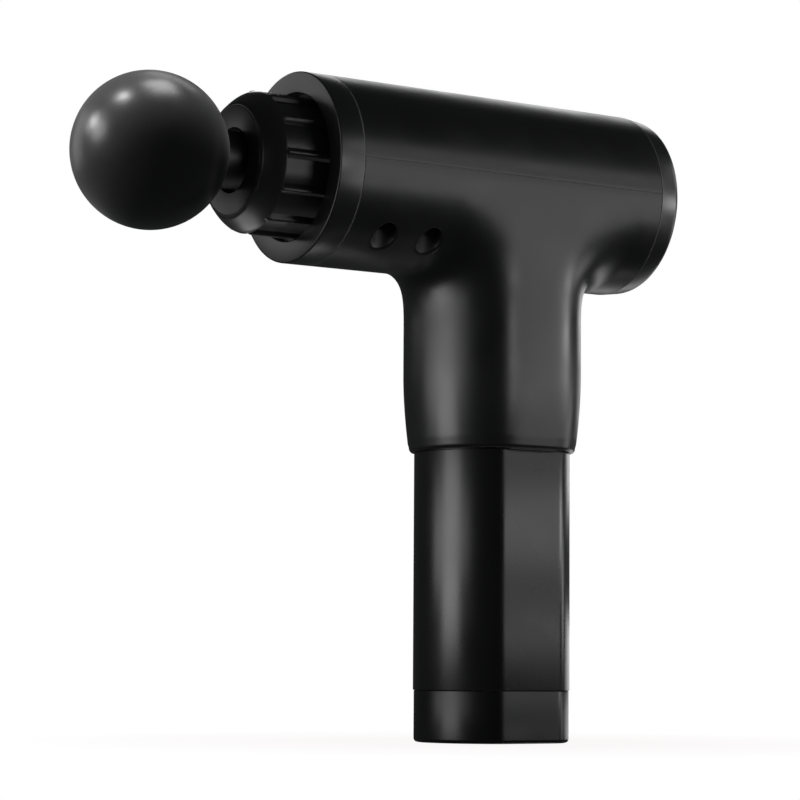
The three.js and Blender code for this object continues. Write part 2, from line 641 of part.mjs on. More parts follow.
function addPack() {
  add(pack, "battery_shell", batteryShell(), SATIN_BLACK);
  add(pack, "bottom_cap", bottomCap(), SATIN_BLACK);
  const capScrew = screw(2.9, 1.4, 1.3, 22.5);
  both(CAP_SCREW_Y).forEach((y, i) => {
    addAt(pack, `cap_screw_${i + 1}`, capScrew, STEEL, 0, y, 1.9);
  });
  const cell = turnedZ([
    [0, 0], [CELL_R, 0], [CELL_R, CELL_HEIGHT], [3, CELL_HEIGHT], [3, CELL_HEIGHT + 0.9],
    [0, CELL_HEIGHT + 0.9],
  ], COARSE);
  cellPlaces.forEach(([x, y], i) => {
    addAt(pack, `cell_${i + 1}`, cell, CELL_WRAP, x, y, CELL_LOW_Z);
  });
  addAt(pack, "cell_holder_lower", cellHolder(), NYLON, 0, 0, CELL_LOW_Z - 2.7);
  const upper = cellHolder().rotate([180, 0, 0]);
  addAt(pack, "cell_holder_upper", upper, NYLON, 0, 0, CELL_LOW_Z + CELL_HEIGHT + 3.6);
  add(pack, "battery_board", flattedPrism(21.8, 20, 95, 96.6), BOARD_GREEN);
  const slots = both(BLADE_X).map((x) => moved(box(both(0.9), both(3.6), [110, 130]), x));
  add(pack, "pack_lid", cut(flattedPrism(22.1, 20.3, 118.3, 121.3), ...slots), SATIN_BLACK);
  addSwitchAndJack();
}

// The fixed contacts and catches in the handle.
function addBay() {
  const plate = flattedPrism(HANDLE_R - 3.7, HANDLE_FLAT - 3.8, LEDGE_Z + GAP, LEDGE_Z + 3.3);
  const block = box(both(12), both(7), [LEDGE_Z + 3, LEDGE_Z + 10.5]);
  const slots = both(BLADE_X).map((x) => moved(box(both(0.7), both(3.3), [120, 131]), x));
  add(gun, "battery_socket", cut(join(plate, block), ...slots), NYLON);
  const blade = box(both(0.4), both(3), [113, 130.6]);
  both(BLADE_X).forEach((x, i) => addAt(gun, `socket_blade_${i + 1}`, blade, COPPER, x, 0, 0));

  const leaf = box([25.3, 25.8], both(3.5), CATCH_Z);
  const bump = box([SPIGOT_R - 0.6, 25.5], both(3), [110, 114]);
  const spring = join(leaf, bump);
  add(gun, "battery_catch_front", spring.mirror([1, 0, 0]), STEEL);
  add(gun, "battery_catch_rear", spring, STEEL);
}

addCasing();
addNose();
addMotor();
addDrive();
addHead();
addElectronics();
addPack();
addBay();

export default gun;
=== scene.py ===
"""The looks of the massage gun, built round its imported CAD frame.

Lengths are in millimetres in the part's frame, -X towards the ball head and +Z up, and are turned
into metres when a mesh is made. Main sizes are read from the frame's own nodes.
"""
import math

import bmesh
import bpy
import numpy as np
from mathutils import Matrix, Vector


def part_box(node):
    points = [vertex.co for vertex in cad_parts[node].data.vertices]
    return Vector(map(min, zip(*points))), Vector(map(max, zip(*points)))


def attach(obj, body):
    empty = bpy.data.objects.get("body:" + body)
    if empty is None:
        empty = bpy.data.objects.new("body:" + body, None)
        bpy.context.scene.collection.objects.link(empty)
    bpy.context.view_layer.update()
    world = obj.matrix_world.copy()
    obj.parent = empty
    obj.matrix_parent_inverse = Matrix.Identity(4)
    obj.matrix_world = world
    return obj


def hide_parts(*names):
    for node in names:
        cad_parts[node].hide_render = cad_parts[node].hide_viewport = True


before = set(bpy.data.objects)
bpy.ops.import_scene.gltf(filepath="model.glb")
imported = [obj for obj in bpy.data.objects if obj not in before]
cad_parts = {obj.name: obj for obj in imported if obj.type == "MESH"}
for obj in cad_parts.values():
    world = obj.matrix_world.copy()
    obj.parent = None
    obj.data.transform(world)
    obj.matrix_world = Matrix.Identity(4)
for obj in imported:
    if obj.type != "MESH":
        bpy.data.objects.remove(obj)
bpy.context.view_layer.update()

MM = 0.001
GAP = 0.3


def extent(node):
    """The lowest and highest corners of a CAD node, in millimetres."""
    low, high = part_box(node)
    return np.array(low) / MM, np.array(high) / MM


# ---- Sizes read from the frame ------------------------------------------------------------------

front_low, front_high = extent("front_ring")
rear_low, rear_high = extent("rear_ring")
ball_low, ball_high = extent("ball_head")
nose_low = extent("nose_collar")[0]
shell_high = extent("battery_shell")[1]
cap_high = extent("bottom_cap")[1]
lower_low = extent("lower_casing")[0]

BARREL_R = (front_high[1] - front_low[1]) / 2
AXIS_Z = (front_high[2] + front_low[2]) / 2
FACE_X = front_low[0]
FRONT_SEAM_X = front_high[0] + GAP / 2
REAR_SEAM_X = rear_low[0] - GAP / 2
REAR_X = rear_high[0]
BALL_R = (ball_high[1] - ball_low[1]) / 2
BALL_X = ball_low[0] + BALL_R
NOSE_TIP_X = nose_low[0]
PACK_R = shell_high[0]
PACK_FLAT = shell_high[1]
SPIGOT_TOP_Z = shell_high[2]
CAP_R = cap_high[0]
CAP_FLAT = cap_high[1]
CAP_TOP_Z = cap_high[2]
LIP_Z = lower_low[2]
AT_AXIS = (0, 0, AXIS_Z)

# Sizes of the shells that a box can't give
BARREL_INNER_R = 28.6
HANDLE_R = 29.8
HANDLE_FLAT = 28.1
HANDLE_EASE = 26  # the greater, the sharper the corners of the flats
SPIGOT_R = 24.6
SPIGOT_FLAT = 22.8
LEDGE_Z = 123.5
WELL_XS = (-57.0, -39.6)
WELL_Y = 20.1
WELL_R = 4.0
WELL_FLOOR_Z = AXIS_Z - 12.5
PAD_X = 29.7
MOUTH_R = 10.5
WIPER_R = 9.75
STEM_R = 9.3


# ---- Camera --------------------------------------------------------------------------------------

CAMERA_AT = Vector((-532.8, -749.6, 24.6)) * MM
CAMERA_AIM = Vector((-36.97, 0, 111.75)) * MM
CAMERA_ROLL = math.radians(0.357)
CAMERA_LENS = 123.9


def add_camera():
    data = bpy.data.cameras.new("camera")
    data.lens = CAMERA_LENS
    data.sensor_width = 36
    data.clip_start, data.clip_end = 0.01, 100
    camera = bpy.data.objects.new("camera", data)
    bpy.context.scene.collection.objects.link(camera)
    forward = (CAMERA_AIM - CAMERA_AT).normalized()
    level = forward.cross(Vector((0, 0, 1))).normalized()
    upright = level.cross(forward)
    right = level * math.cos(CAMERA_ROLL) + upright * math.sin(CAMERA_ROLL)
    top = right.cross(forward)
    turn = Matrix((right, top, -forward)).transposed().to_4x4()
    camera.matrix_world = Matrix.Translation(CAMERA_AT) @ turn
    bpy.context.scene.camera = camera


add_camera()


# ---- Materials -----------------------------------------------------------------------------------

class Nodes:
    """A node material's tree, with short calls for the nodes used here."""

    def __init__(self, name):
        self.material = bpy.data.materials.new(name)
        self.material.use_nodes = True
        self.tree = self.material.node_tree
        self.shader = self.tree.nodes["Principled BSDF"]
        self.place = self.add("ShaderNodeTexCoord").outputs["Object"]

    def add(self, kind, **settings):
        node = self.tree.nodes.new(kind)
        for key, value in settings.items():
            setattr(node, key, value)
        return node

    def link(self, source, target):
        self.tree.links.new(source, target)

    def stretched(self, scale):
        """Object coordinates in millimetres, scaled along each axis."""
        mapping = self.add("ShaderNodeMapping")
        mapping.inputs["Scale"].default_value = [s / MM for s in scale]
        self.link(self.place, mapping.inputs["Vector"])
        return mapping.outputs["Vector"]

    def noise(self, size, detail=2.0, rough=0.5, stretch=(1, 1, 1)):
        """Noise whose features are about size millimetres across."""
        node = self.add("ShaderNodeTexNoise")
        node.inputs["Scale"].default_value = 1
        node.inputs["Detail"].default_value = detail
        node.inputs["Roughness"].default_value = rough
        self.link(self.stretched([s / size for s in stretch]), node.inputs["Vector"])
        return node.outputs["Fac"]

    def ranged(self, value, low, high, source=(0.3, 0.7)):
        node = self.add("ShaderNodeMapRange")
        for name, number in zip(("From Min", "From Max", "To Min", "To Max"), (*source, low, high)):
            node.inputs[name].default_value = number
        self.link(value, node.inputs["Value"])
        return node.outputs["Result"]

    def mixed(self, factor, dark, light):
        node = self.add("ShaderNodeMix", data_type="RGBA")
        self.link(factor, node.inputs["Factor"])
        node.inputs[6].default_value = (*dark, 1)
        node.inputs[7].default_value = (*light, 1)
        return node.outputs[2]

    def maths(self, operation, first, second):
        node = self.add("ShaderNodeMath", operation=operation)
        for socket, value in zip(node.inputs, (first, second)):
            if isinstance(value, (int, float)):
                socket.default_value = value
            else:
                self.link(value, socket)
        return node.outputs[0]

    def bumped(self, height, depth, below=None):
        """A bump of depth millimetres, over another bump if one is given."""
        node = self.add("ShaderNodeBump")
        node.inputs["Strength"].default_value = 1
        node.inputs["Distance"].default_value = depth * MM
        self.link(height, node.inputs["Height"])
        if below is not None:
            self.link(below, node.inputs["Normal"])
        return node.outputs["Normal"]

    def feed(self, **inputs):
        """Sets the shader's inputs by name, with _ for a space."""
        for key, value in inputs.items():
            socket = self.shader.inputs[key.replace("_", " ")]
            if isinstance(value, bpy.types.NodeSocket):
                self.link(value, socket)
            else:
                socket.default_value = value
        return self


def grey(level, cool=0.0):
    return (level, level * (1 + cool * 0.6), level * (1 + cool))


def moulded(name, color, roughness, grain=0.35, depth=0.006, spread=0.05, coat=0.0, sheen=0.0,
            specular=0.5):
    """Moulded plastic or rubber: a fine grain, a slow waviness, and faint handling marks."""
    nodes = Nodes(name)
    fine = nodes.noise(grain, detail=3)
    slow = nodes.noise(22, detail=2)
    marks = nodes.noise(5, detail=3, rough=0.6, stretch=(1, 1, 0.4))
    bump = nodes.bumped(slow, 0.02)
    bump = nodes.bumped(fine, depth, bump)
    patchy = nodes.maths("ADD", nodes.ranged(slow, -spread, spread), roughness)
    patchy = nodes.maths("ADD", patchy, nodes.ranged(marks, -spread / 4, spread / 4))
    dark = tuple(c * 0.82 for c in color)
    light = tuple(c * 1.2 for c in color)
    nodes.feed(Base_Color=nodes.mixed(fine, dark, light), Roughness=patchy, Normal=bump)
    nodes.feed(Coat_Weight=coat, Coat_Roughness=0.12, Sheen_Weight=sheen, Sheen_Roughness=0.4)
    nodes.feed(Specular_IOR_Level=specular)
    return nodes.material


def machined(name, color, roughness, stretch=(1, 8, 8), size=0.6, depth=0.004):
    """Turned or drawn metal: fine lines along one way, and slow stains."""
    nodes = Nodes(name)
    lines = nodes.noise(size, detail=4, rough=0.6, stretch=stretch)
    stains = nodes.noise(9, detail=3)
    rough = nodes.maths("ADD", nodes.ranged(lines, -0.07, 0.07), roughness)
    rough = nodes.maths("ADD", rough, nodes.ranged(stains, -0.05, 0.08))
    dark = tuple(c * 0.8 for c in color)
    nodes.feed(Base_Color=nodes.mixed(stains, dark, color), Metallic=1.0, Roughness=rough)
    nodes.feed(Normal=nodes.bumped(lines, depth))
    return nodes.material


def foam(name, color):
    """Closed-cell foam with a smooth moulded skin: shallow pores and a soft bloom at the edges."""
    nodes = Nodes(name)
    pores = nodes.noise(0.55, detail=3, rough=0.6)
    lumps = nodes.noise(6, detail=2)
    bump = nodes.bumped(lumps, 0.03)
    bump = nodes.bumped(pores, 0.012, bump)
    nodes.feed(Base_Color=nodes.mixed(pores, grey(color * 0.8), grey(color * 1.25)))
    nodes.feed(Roughness=nodes.ranged(lumps, 0.28, 0.34), Normal=bump)
    nodes.feed(Sheen_Weight=0.25, Sheen_Roughness=0.5)
    return nodes.material


def circuit_board(name):
    """Green solder mask with copper tracks under it."""
    nodes = Nodes(name)
    cells = nodes.add("ShaderNodeTexBrick")
    cells.inputs["Scale"].default_value = 1
    cells.inputs["Mortar Size"].default_value = 0.16
    cells.inputs["Color1"].default_value = cells.inputs["Color2"].default_value = (0, 0, 0, 1)
    cells.inputs["Mortar"].default_value = (1, 1, 1, 1)
    nodes.link(nodes.stretched((0.45, 0.45, 0.45)), cells.inputs["Vector"])
    tracks = nodes.maths("MULTIPLY", cells.outputs["Color"], nodes.noise(5))
    color = nodes.mixed(tracks, (0.012, 0.09, 0.035), (0.05, 0.24, 0.09))
    nodes.feed(Base_Color=color, Roughness=nodes.ranged(nodes.noise(4), 0.25, 0.4))
    nodes.feed(Normal=nodes.bumped(tracks, 0.03))
    return nodes.material


def wound_copper(name):
    """Lacquered copper wire, its turns lying across the tooth."""
    nodes = Nodes(name)
    wave = nodes.add("ShaderNodeTexWave", bands_direction="Z")
    wave.inputs["Scale"].default_value = 0.5
    wave.inputs["Distortion"].default_value = 0.6
    nodes.link(nodes.stretched((0.6, 0.6, 0.9)), wave.inputs["Vector"])
    color = nodes.mixed(wave.outputs["Fac"], (0.2, 0.05, 0.015), (0.75, 0.3, 0.12))
    nodes.feed(Base_Color=color, Metallic=0.9, Roughness=0.32, Coat_Weight=0.4)
    nodes.feed(Normal=nodes.bumped(wave.outputs["Fac"], 0.12))
    return nodes.material


def lit(name, color, strength):
    nodes = Nodes(name)
    glow = nodes.ranged(nodes.noise(1.5), 0.85 * strength, 1.15 * strength)
    nodes.feed(Base_Color=(*color, 1), Roughness=0.35, Emission_Color=(*color, 1))
    nodes.feed(Emission_Strength=glow, Transmission_Weight=0.2)
    return nodes.material


SHELL = moulded("shell_plastic", grey(0.005, 0.08), 0.33)
RING = moulded("ring_plastic", grey(0.006, 0.08), 0.30, spread=0.03, specular=0.62)
# The paler grey of the eased seam edges is a painted highlight.
EDGE = moulded("seam_painted_highlight", grey(0.16), 0.4)
# The wells' rougher plastic is painted paler than the casing: painted light inside the wells.
WELL = moulded("well_painted_light", grey(0.012), 0.62)
PACK = moulded("pack_plastic", grey(0.004, 0.04), 0.28, spread=0.025)
CAP = moulded("cap_plastic", grey(0.004, 0.04), 0.32, specular=0.26)
NOSE = moulded("nose_plastic", grey(0.013), 0.32, grain=0.5, depth=0.004)
STEM = moulded("stem_plastic", grey(0.006), 0.45)
PANEL = moulded("panel_gloss", grey(0.006), 0.08, depth=0.0005, spread=0.02, coat=0.6)
BUTTON = moulded("button_plastic", grey(0.014), 0.42, grain=0.3)
SWITCH = moulded("switch_plastic", grey(0.010), 0.30)
RUBBER = moulded("rubber", grey(0.014), 0.62, grain=0.25, depth=0.012)
NYLON = moulded("nylon", (0.62, 0.6, 0.52), 0.45)
WRAP = moulded("cell_wrap", (0.02, 0.09, 0.24), 0.3, grain=0.8)
FOAM = foam("foam", 0.05)
ALUMINIUM = machined("aluminium", (0.62, 0.63, 0.65), 0.32)
STEEL = machined("steel", (0.52, 0.53, 0.55), 0.28, stretch=(3, 3, 3))
BLACK_STEEL = machined("black_steel", (0.06, 0.06, 0.065), 0.36, stretch=(3, 3, 3))
BRONZE = machined("bronze", (0.55, 0.36, 0.16), 0.36)
COPPER = machined("copper", (0.7, 0.33, 0.16), 0.3)
BOARD = circuit_board("circuit_board")
WINDING = wound_copper("winding_copper")
GLOW = lit("light_guide", (0.75, 0.88, 1.0), 0.22)


# ---- Mesh building -------------------------------------------------------------------------------


def stand_in(piece, material, body, node):
    """Gives a piece its material and its body, and puts it in place of its CAD node."""
    piece.data.materials.append(material)
    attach(piece, body)
    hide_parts(node)
    return piece


def make(name, points, faces, material=None, body=None, node=None, slot=None, sharp=32):
    """A mesh from points in millimetres. Points that coincide are merged. Given a node, it is a
    piece of the gun, and without one it is a tool or the floor."""
    mesh = bpy.data.meshes.new(name)
    mesh.from_pydata((np.asarray(points, float) * MM).tolist(), [], faces)
    work = bmesh.new()
    work.from_mesh(mesh)
    bmesh.ops.remove_doubles(work, verts=work.verts, dist=2e-7)
    bmesh.ops.dissolve_degenerate(work, edges=work.edges, dist=1e-8)
    bmesh.ops.recalc_face_normals(work, faces=work.faces)
    work.to_mesh(mesh)
    work.free()
    piece = bpy.data.objects.new(name, mesh)
    bpy.context.scene.collection.objects.link(piece)
    smooth(piece, sharp)
    return stand_in(piece, material, body, node) if node else piece


def smooth(piece, sharp=32):
    piece.data.shade_smooth()
    piece.data.set_sharp_from_angle(angle=math.radians(sharp))
    return piece


def applied(piece):
    """Gives a piece the mesh that its modifiers make of it."""
    graph = bpy.context.evaluated_depsgraph_get()
    mesh = bpy.data.meshes.new_from_object(piece.evaluated_get(graph))
    piece.modifiers.clear()
    piece.data = mesh
    return piece


def full_turn(count):
    return np.linspace(0, 2 * math.pi, count, endpoint=False)


def quads(rows, columns, closed_rows=False, closed_columns=True):
    """Faces of a grid of points stored row by row."""
    faces = []
    for i in range(rows if closed_rows else rows - 1):
        for j in range(columns if closed_columns else columns - 1):
            k, m = (i + 1) % rows, (j + 1) % columns
            faces.append((i * columns + j, i * columns + m, k * columns + m, k * columns + j))
    return faces


def loft(name, rings, *args, closed=False, **settings):
    """A solid through rings of equal length. Unless the stack closes on itself, each end is
    closed by a face."""
    rings = np.asarray(rings, float)
    rows, columns = rings.shape[:2]
    faces = quads(rows, columns, closed_rows=closed)
    if not closed:
        faces.append(tuple(range(columns)))
        faces.append(tuple((rows - 1) * columns + j for j in reversed(range(columns))))
    return make(name, rings.reshape(-1, 3), faces, *args, **settings)


def eased(points, closed=True, steps=4):
    """An outline whose corners are rounded. A point is (a, b) or (a, b, rounding)."""
    result = []
    count = len(points)
    for i, point in enumerate(points):
        here = np.array(point[:2], float)
        ease = point[2] if len(point) > 2 else 0
        at_end = not closed and i in (0, count - 1)
        if ease <= 0 or at_end:
            result.append(here)
            continue
        before = np.array(points[i - 1][:2], float) - here
        after = np.array(points[(i + 1) % count][:2], float) - here
        start = here + before / np.linalg.norm(before) * ease
        end = here + after / np.linalg.norm(after) * ease
        for t in np.linspace(0, 1, steps + 1):
            result.append(start * (1 - t) ** 2 + here * 2 * t * (1 - t) + end * t**2)
    return np.array(result)


def turned(name, profile, *args, axis="X", at=(0, 0, 0), count=128, steps=4, **settings):
    """A solid of revolution. The profile's points are (along the axis, radius, rounding), and it
    either starts and ends on the axis or closes on itself."""
    ring = profile[0][1] > 0
    line = eased(profile, closed=ring, steps=steps)
    angles = full_turn(count)
    along, radius = line[:, 0][:, None], line[:, 1][:, None]
    first, second = radius * np.cos(angles), radius * np.sin(angles)
    along = np.broadcast_to(along, first.shape)
    parts = {"X": (along, first, second), "Y": (second, along, first), "Z": (first, second, along)}
    points = np.stack(parts[axis], axis=2) + np.array(at)
    rows = len(line)
    faces = quads(rows, count, closed_rows=ring)
    return make(name, points.reshape(-1, 3), faces, *args, **settings)


def handle_reach(angle):
    """The reach of the handle's round outline at an angle, eased into flats at its sides."""
    to_flat = HANDLE_FLAT / np.maximum(np.abs(np.sin(angle)), 1e-6)
    return (HANDLE_R**-HANDLE_EASE + to_flat**-HANDLE_EASE) ** (-1 / HANDLE_EASE)


def flatted(radius, flat, corner=0.8, arc=72, line=10, turn=8):
    """A circle with a flat at +Y and at -Y, its four corners rounded."""
    half = math.asin(flat / radius)
    short = corner / radius
    right = [(radius * math.cos(a), radius * math.sin(a))
             for a in np.linspace(-half + short, half - short, arc + 1)]
    peak = np.array((radius * math.cos(half), flat))
    start, end = np.array(right[-1]), peak - (corner, 0)
    bend = [start * (1 - t) ** 2 + peak * 2 * t * (1 - t) + end * t**2
            for t in np.linspace(0, 1, turn + 1)[1:]]
    top = [(x, flat) for x in np.linspace(end[0], -end[0], line + 1)[1:]]
    quarter = [tuple(p) for p in bend]
    mirror = [(-x, y) for x, y in reversed([right[-1]] + quarter[:-1])]
    upper = right + quarter + top + mirror
    left = [(-x, -y) for x, y in upper[1:-1]]
    return np.array(upper + left)


def prism(name, profile, *args, corner=0.8, **settings):
    """A solid on the flatted outline. The profile's points are (radius, flat, z)."""
    rings = []
    for radius, flat, z in profile:
        outline = flatted(radius, flat, corner)
        rings.append(np.column_stack((outline, np.full(len(outline), z))))
    return loft(name, rings, *args, **settings)


def inset_by(radius, flat, steps):
    """Points of a prism's profile. A step is (inset, z)."""
    return [(radius - inset, flat - inset, z) for inset, z in steps]


def boolean(piece, other, operation):
    """Joins or cuts a piece with another mesh, which is used up."""
    modifier = piece.modifiers.new("boolean", "BOOLEAN")
    modifier.object = other
    modifier.operation = operation
    modifier.solver = "EXACT"
    applied(piece)
    bpy.data.objects.remove(other)
    return piece


def joined(pieces):
    """One mesh of several that don't touch, for use as a tool."""
    if len(pieces) == 1:
        return pieces[0]
    work = bmesh.new()
    for piece in pieces:
        work.from_mesh(piece.data)
    mesh = bpy.data.meshes.new("tool")
    work.to_mesh(mesh)
    work.free()
    for piece in pieces:
        bpy.data.objects.remove(piece)
    tool = bpy.data.objects.new("tool", mesh)
    bpy.context.scene.collection.objects.link(tool)
    return tool


def rod(radius, low, high, x=0, y=0, z=0, count=48, axis="Z"):
    return turned("rod", [(low, 0), (low, radius), (high, radius), (high, 0)],
                  axis=axis, at=(x, y, z), count=count)


def slab(name, outline, low, high, *args, axis="Z", at=(0, 0, 0), **settings):
    """An outline drawn across an axis and extruded along it. Its points are (first, second,
    rounding)."""
    line = eased(outline)
    first, second = line[:, 0], line[:, 1]
    rings = []
    for place in (low, high):
        along = np.full(len(line), place)
        parts = {"X": (along, first, second), "Y": (first, along, second),
                 "Z": (first, second, along)}
        rings.append(np.stack(parts[axis], axis=1) + np.array(at))
    return loft(name, rings, *args, **settings)


def oblong(half_a, half_b, rounding=0.0, a=0.0, b=0.0):
    return [(a - half_a, b - half_b, rounding), (a + half_a, b - half_b, rounding),
            (a + half_a, b + half_b, rounding), (a - half_a, b + half_b, rounding)]


def block(x, y, z, rounding=0.0):
    """A box between pairs of bounds, for use as a tool."""
    middle_x, middle_y = sum(x) / 2, sum(y) / 2
    outline = oblong(x[1] - middle_x, y[1] - middle_y, rounding, middle_x, middle_y)
    return slab("block", outline, *z)


def bevelled(piece, width, segments=2, angle=30):
    """Eases the piece's sharp edges."""
    modifier = piece.modifiers.new("bevel", "BEVEL")
    modifier.width = width * MM
    modifier.segments = segments
    modifier.limit_method = "ANGLE"
    modifier.angle_limit = math.radians(angle)
    return smooth(applied(piece), 40)


def add_to(piece, *others):
    return boolean(piece, joined(others), "UNION")


def cut_from(piece, *others):
    return smooth(boolean(piece, joined(others), "DIFFERENCE"))


def painted(piece, material, test):
    """Gives a second material to the faces whose middle, in millimetres, passes a test."""
    piece.data.materials.append(material)
    for face in piece.data.polygons:
        if test(face.center / MM):
            face.material_index = len(piece.data.materials) - 1
    return piece


def screw(name, body, head, shank, at, axis="Z"):
    """A pan-head screw with a hex socket and a cut thread. The underside of its head is at the
    given place, and its shank points along the axis."""
    head_r, head_h = head
    shank_r, length = shank
    thread = [(along, shank_r - 0.22 * (i % 2))
              for i, along in enumerate(np.arange(1, length - 0.6, 0.4))]
    profile = [(-head_h, 0), (-head_h, head_r * 0.8, 0.25), (-head_h / 2, head_r, 0.3),
               (0, head_r, 0.1), (0, shank_r, 0.1), *thread, (length, shank_r - 0.5), (length, 0)]
    piece = turned(f"{name}_threaded", profile, STEEL, body, axis=axis, at=at, count=48,
                   node=name)
    x, y, z = at
    socket = rod(head_r * 0.5, -head_h - 1, -head_h * 0.35, x, y, z, count=6, axis=axis)
    return cut_from(piece, socket)


# ---- Barrel casing -------------------------------------------------------------------------------

SEAM_EASE = 0.2
HALF_SEAM = 0.03  # the seams are drawn tighter than the CAD solids' gaps
SHELL_X0 = FRONT_SEAM_X + HALF_SEAM
SHELL_X1 = REAR_SEAM_X - HALF_SEAM
HALF_TURN = math.pi / 2 - HALF_SEAM / BARREL_R  # from straight down to the side seam


def paint_seam_highlights(piece):
    """Paints the eased edges along the casing's seams a paler grey, a painted highlight for the
    light that catches on them.
    """
    def on_edge(p):
        outside = math.hypot(p.y, p.z - AXIS_Z) > BARREL_R - SEAM_EASE - 0.02
        at_ring = min(abs(p.x - FRONT_SEAM_X), abs(p.x - REAR_SEAM_X)) < HALF_SEAM + SEAM_EASE
        at_side = abs(p.z - AXIS_Z) < HALF_SEAM + SEAM_EASE and abs(p.y) > BARREL_R - 1
        return outside and (at_ring or at_side)

    return painted(piece, EDGE, on_edge)


def well_places():
    return [(x, y) for x in WELL_XS for y in (-WELL_Y, WELL_Y)]


def upper_casing():
    """The upper half of the barrel: one section swept along X, its outer edges eased."""
    def section(inset):
        outer = [(BARREL_R - inset, a) for a in np.linspace(-HALF_TURN, HALF_TURN, 121)]
        small = SEAM_EASE / BARREL_R
        ends = [(BARREL_R - SEAM_EASE, HALF_TURN), (BARREL_INNER_R, HALF_TURN)]
        outer[0] = (BARREL_R - inset - SEAM_EASE * 0.3, -HALF_TURN + small * 0.3)
        outer[-1] = (BARREL_R - inset - SEAM_EASE * 0.3, HALF_TURN - small * 0.3)
        inner = [(BARREL_INNER_R, a) for a in np.linspace(HALF_TURN, -HALF_TURN, 121)[1:]]
        return outer + ends + inner + [(BARREL_R - SEAM_EASE, -HALF_TURN)]

    rows = [(SHELL_X0, SEAM_EASE), (SHELL_X0 + 0.1, 0.12), (SHELL_X0 + SEAM_EASE, 0)]
    rows += [(x, 0) for x in np.linspace(SHELL_X0, SHELL_X1, 62)[1:-1]]
    rows += [(SHELL_X1 - SEAM_EASE, 0), (SHELL_X1 - 0.1, 0.12), (SHELL_X1, SEAM_EASE)]
    rings = [
        [(x, r * math.sin(a), AXIS_Z + r * math.cos(a)) for r, a in section(inset)]
        for x, inset in rows
    ]
    return paint_seam_highlights(loft("upper_shell", rings, SHELL, "casing", node="upper_casing"))


TAPER_TOP_Z = 122
LIP_TAPER = 2.0
FLARE_Z = 138.5
FOOT_X = 39.4  # the flare's foot under the barrel, ahead and behind
FOOT_TURN = math.radians(85)  # and at the sides
FOOT_SPREAD = 7.0  # how far the foot's rear corners stand further back
CORNER = 0.36  # turns the corners of the handle's flats towards the foot's own corners


def taper(z):
    share = np.maximum(0, (TAPER_TOP_Z - z) / (TAPER_TOP_Z - LIP_Z))
    return LIP_TAPER * share**1.8


def foot_of_flare(angle):
    """The foot of the flare in the barrel's unrolled surface, x and turn, for each angle round
    the handle. It is squarer behind than ahead."""
    along, across = np.cos(angle), CORNER * np.sin(angle)
    power = 4.5 + 1.5 * along
    reach = (np.abs(along) ** power + np.abs(across) ** power) ** (-1 / power)
    side = across * reach
    spread = np.where(along > 0, FOOT_SPREAD * side**2, 0)
    return along * reach * (FOOT_X + spread), FOOT_TURN * side


def flare(angle, t):
    """Points of the flare: upright on the handle at t = 0, and on the barrel at t = 1, where it
    arrives along the barrel's surface."""
    reach = handle_reach(angle)
    start = np.stack((reach * np.cos(angle), reach * np.sin(angle),
                      np.full_like(angle, FLARE_Z)), axis=1)
    foot_x, foot_turn = foot_of_flare(angle)
    end = on_barrel(foot_x, foot_turn, BARREL_R)
    arc = foot_turn * BARREL_R
    length = np.hypot(foot_x, arc)
    outward = np.stack((foot_x, arc * np.cos(foot_turn), arc * np.sin(foot_turn)), axis=1)
    outward /= length[:, None]
    span = np.linalg.norm(end - start, axis=1)[:, None]
    rise = start + span * 0.56 * np.array((0, 0, 1))
    arrive = end - outward * span * 0.36
    return (start * (1 - t) ** 3 + rise * 3 * t * (1 - t) ** 2 + arrive * 3 * t**2 * (1 - t)
            + end * t**3)


def on_barrel(x, turn, radius):
    """Points of the barrel's lower half: turn is the angle from straight down."""
    return np.stack((x, radius * np.sin(turn), AXIS_Z - radius * np.cos(turn)), axis=1)


def edge_of_half(x, turn, inset):
    """Where rays through points of the unrolled lower half meet its rectangular edge. The ray
    nearest each corner is moved onto the corner."""
    x0, x1 = SHELL_X0 + inset, SHELL_X1 - inset
    top = HALF_TURN - inset / BARREL_R
    reach_x = np.where(x < 0, x0 / np.minimum(x, -1e-9), x1 / np.maximum(x, 1e-9))
    reach_turn = top / np.maximum(np.abs(turn), 1e-9)
    share = np.minimum(reach_x, reach_turn)
    edge_x, edge_turn = x * share, turn * share
    for corner_x in (x0, x1):
        for corner_turn in (-top, top):
            away = ((edge_x - corner_x) / BARREL_R) ** 2 + (edge_turn - corner_turn) ** 2
            nearest = int(np.argmin(away))
            edge_x[nearest], edge_turn[nearest] = corner_x, corner_turn
    return edge_x, edge_turn


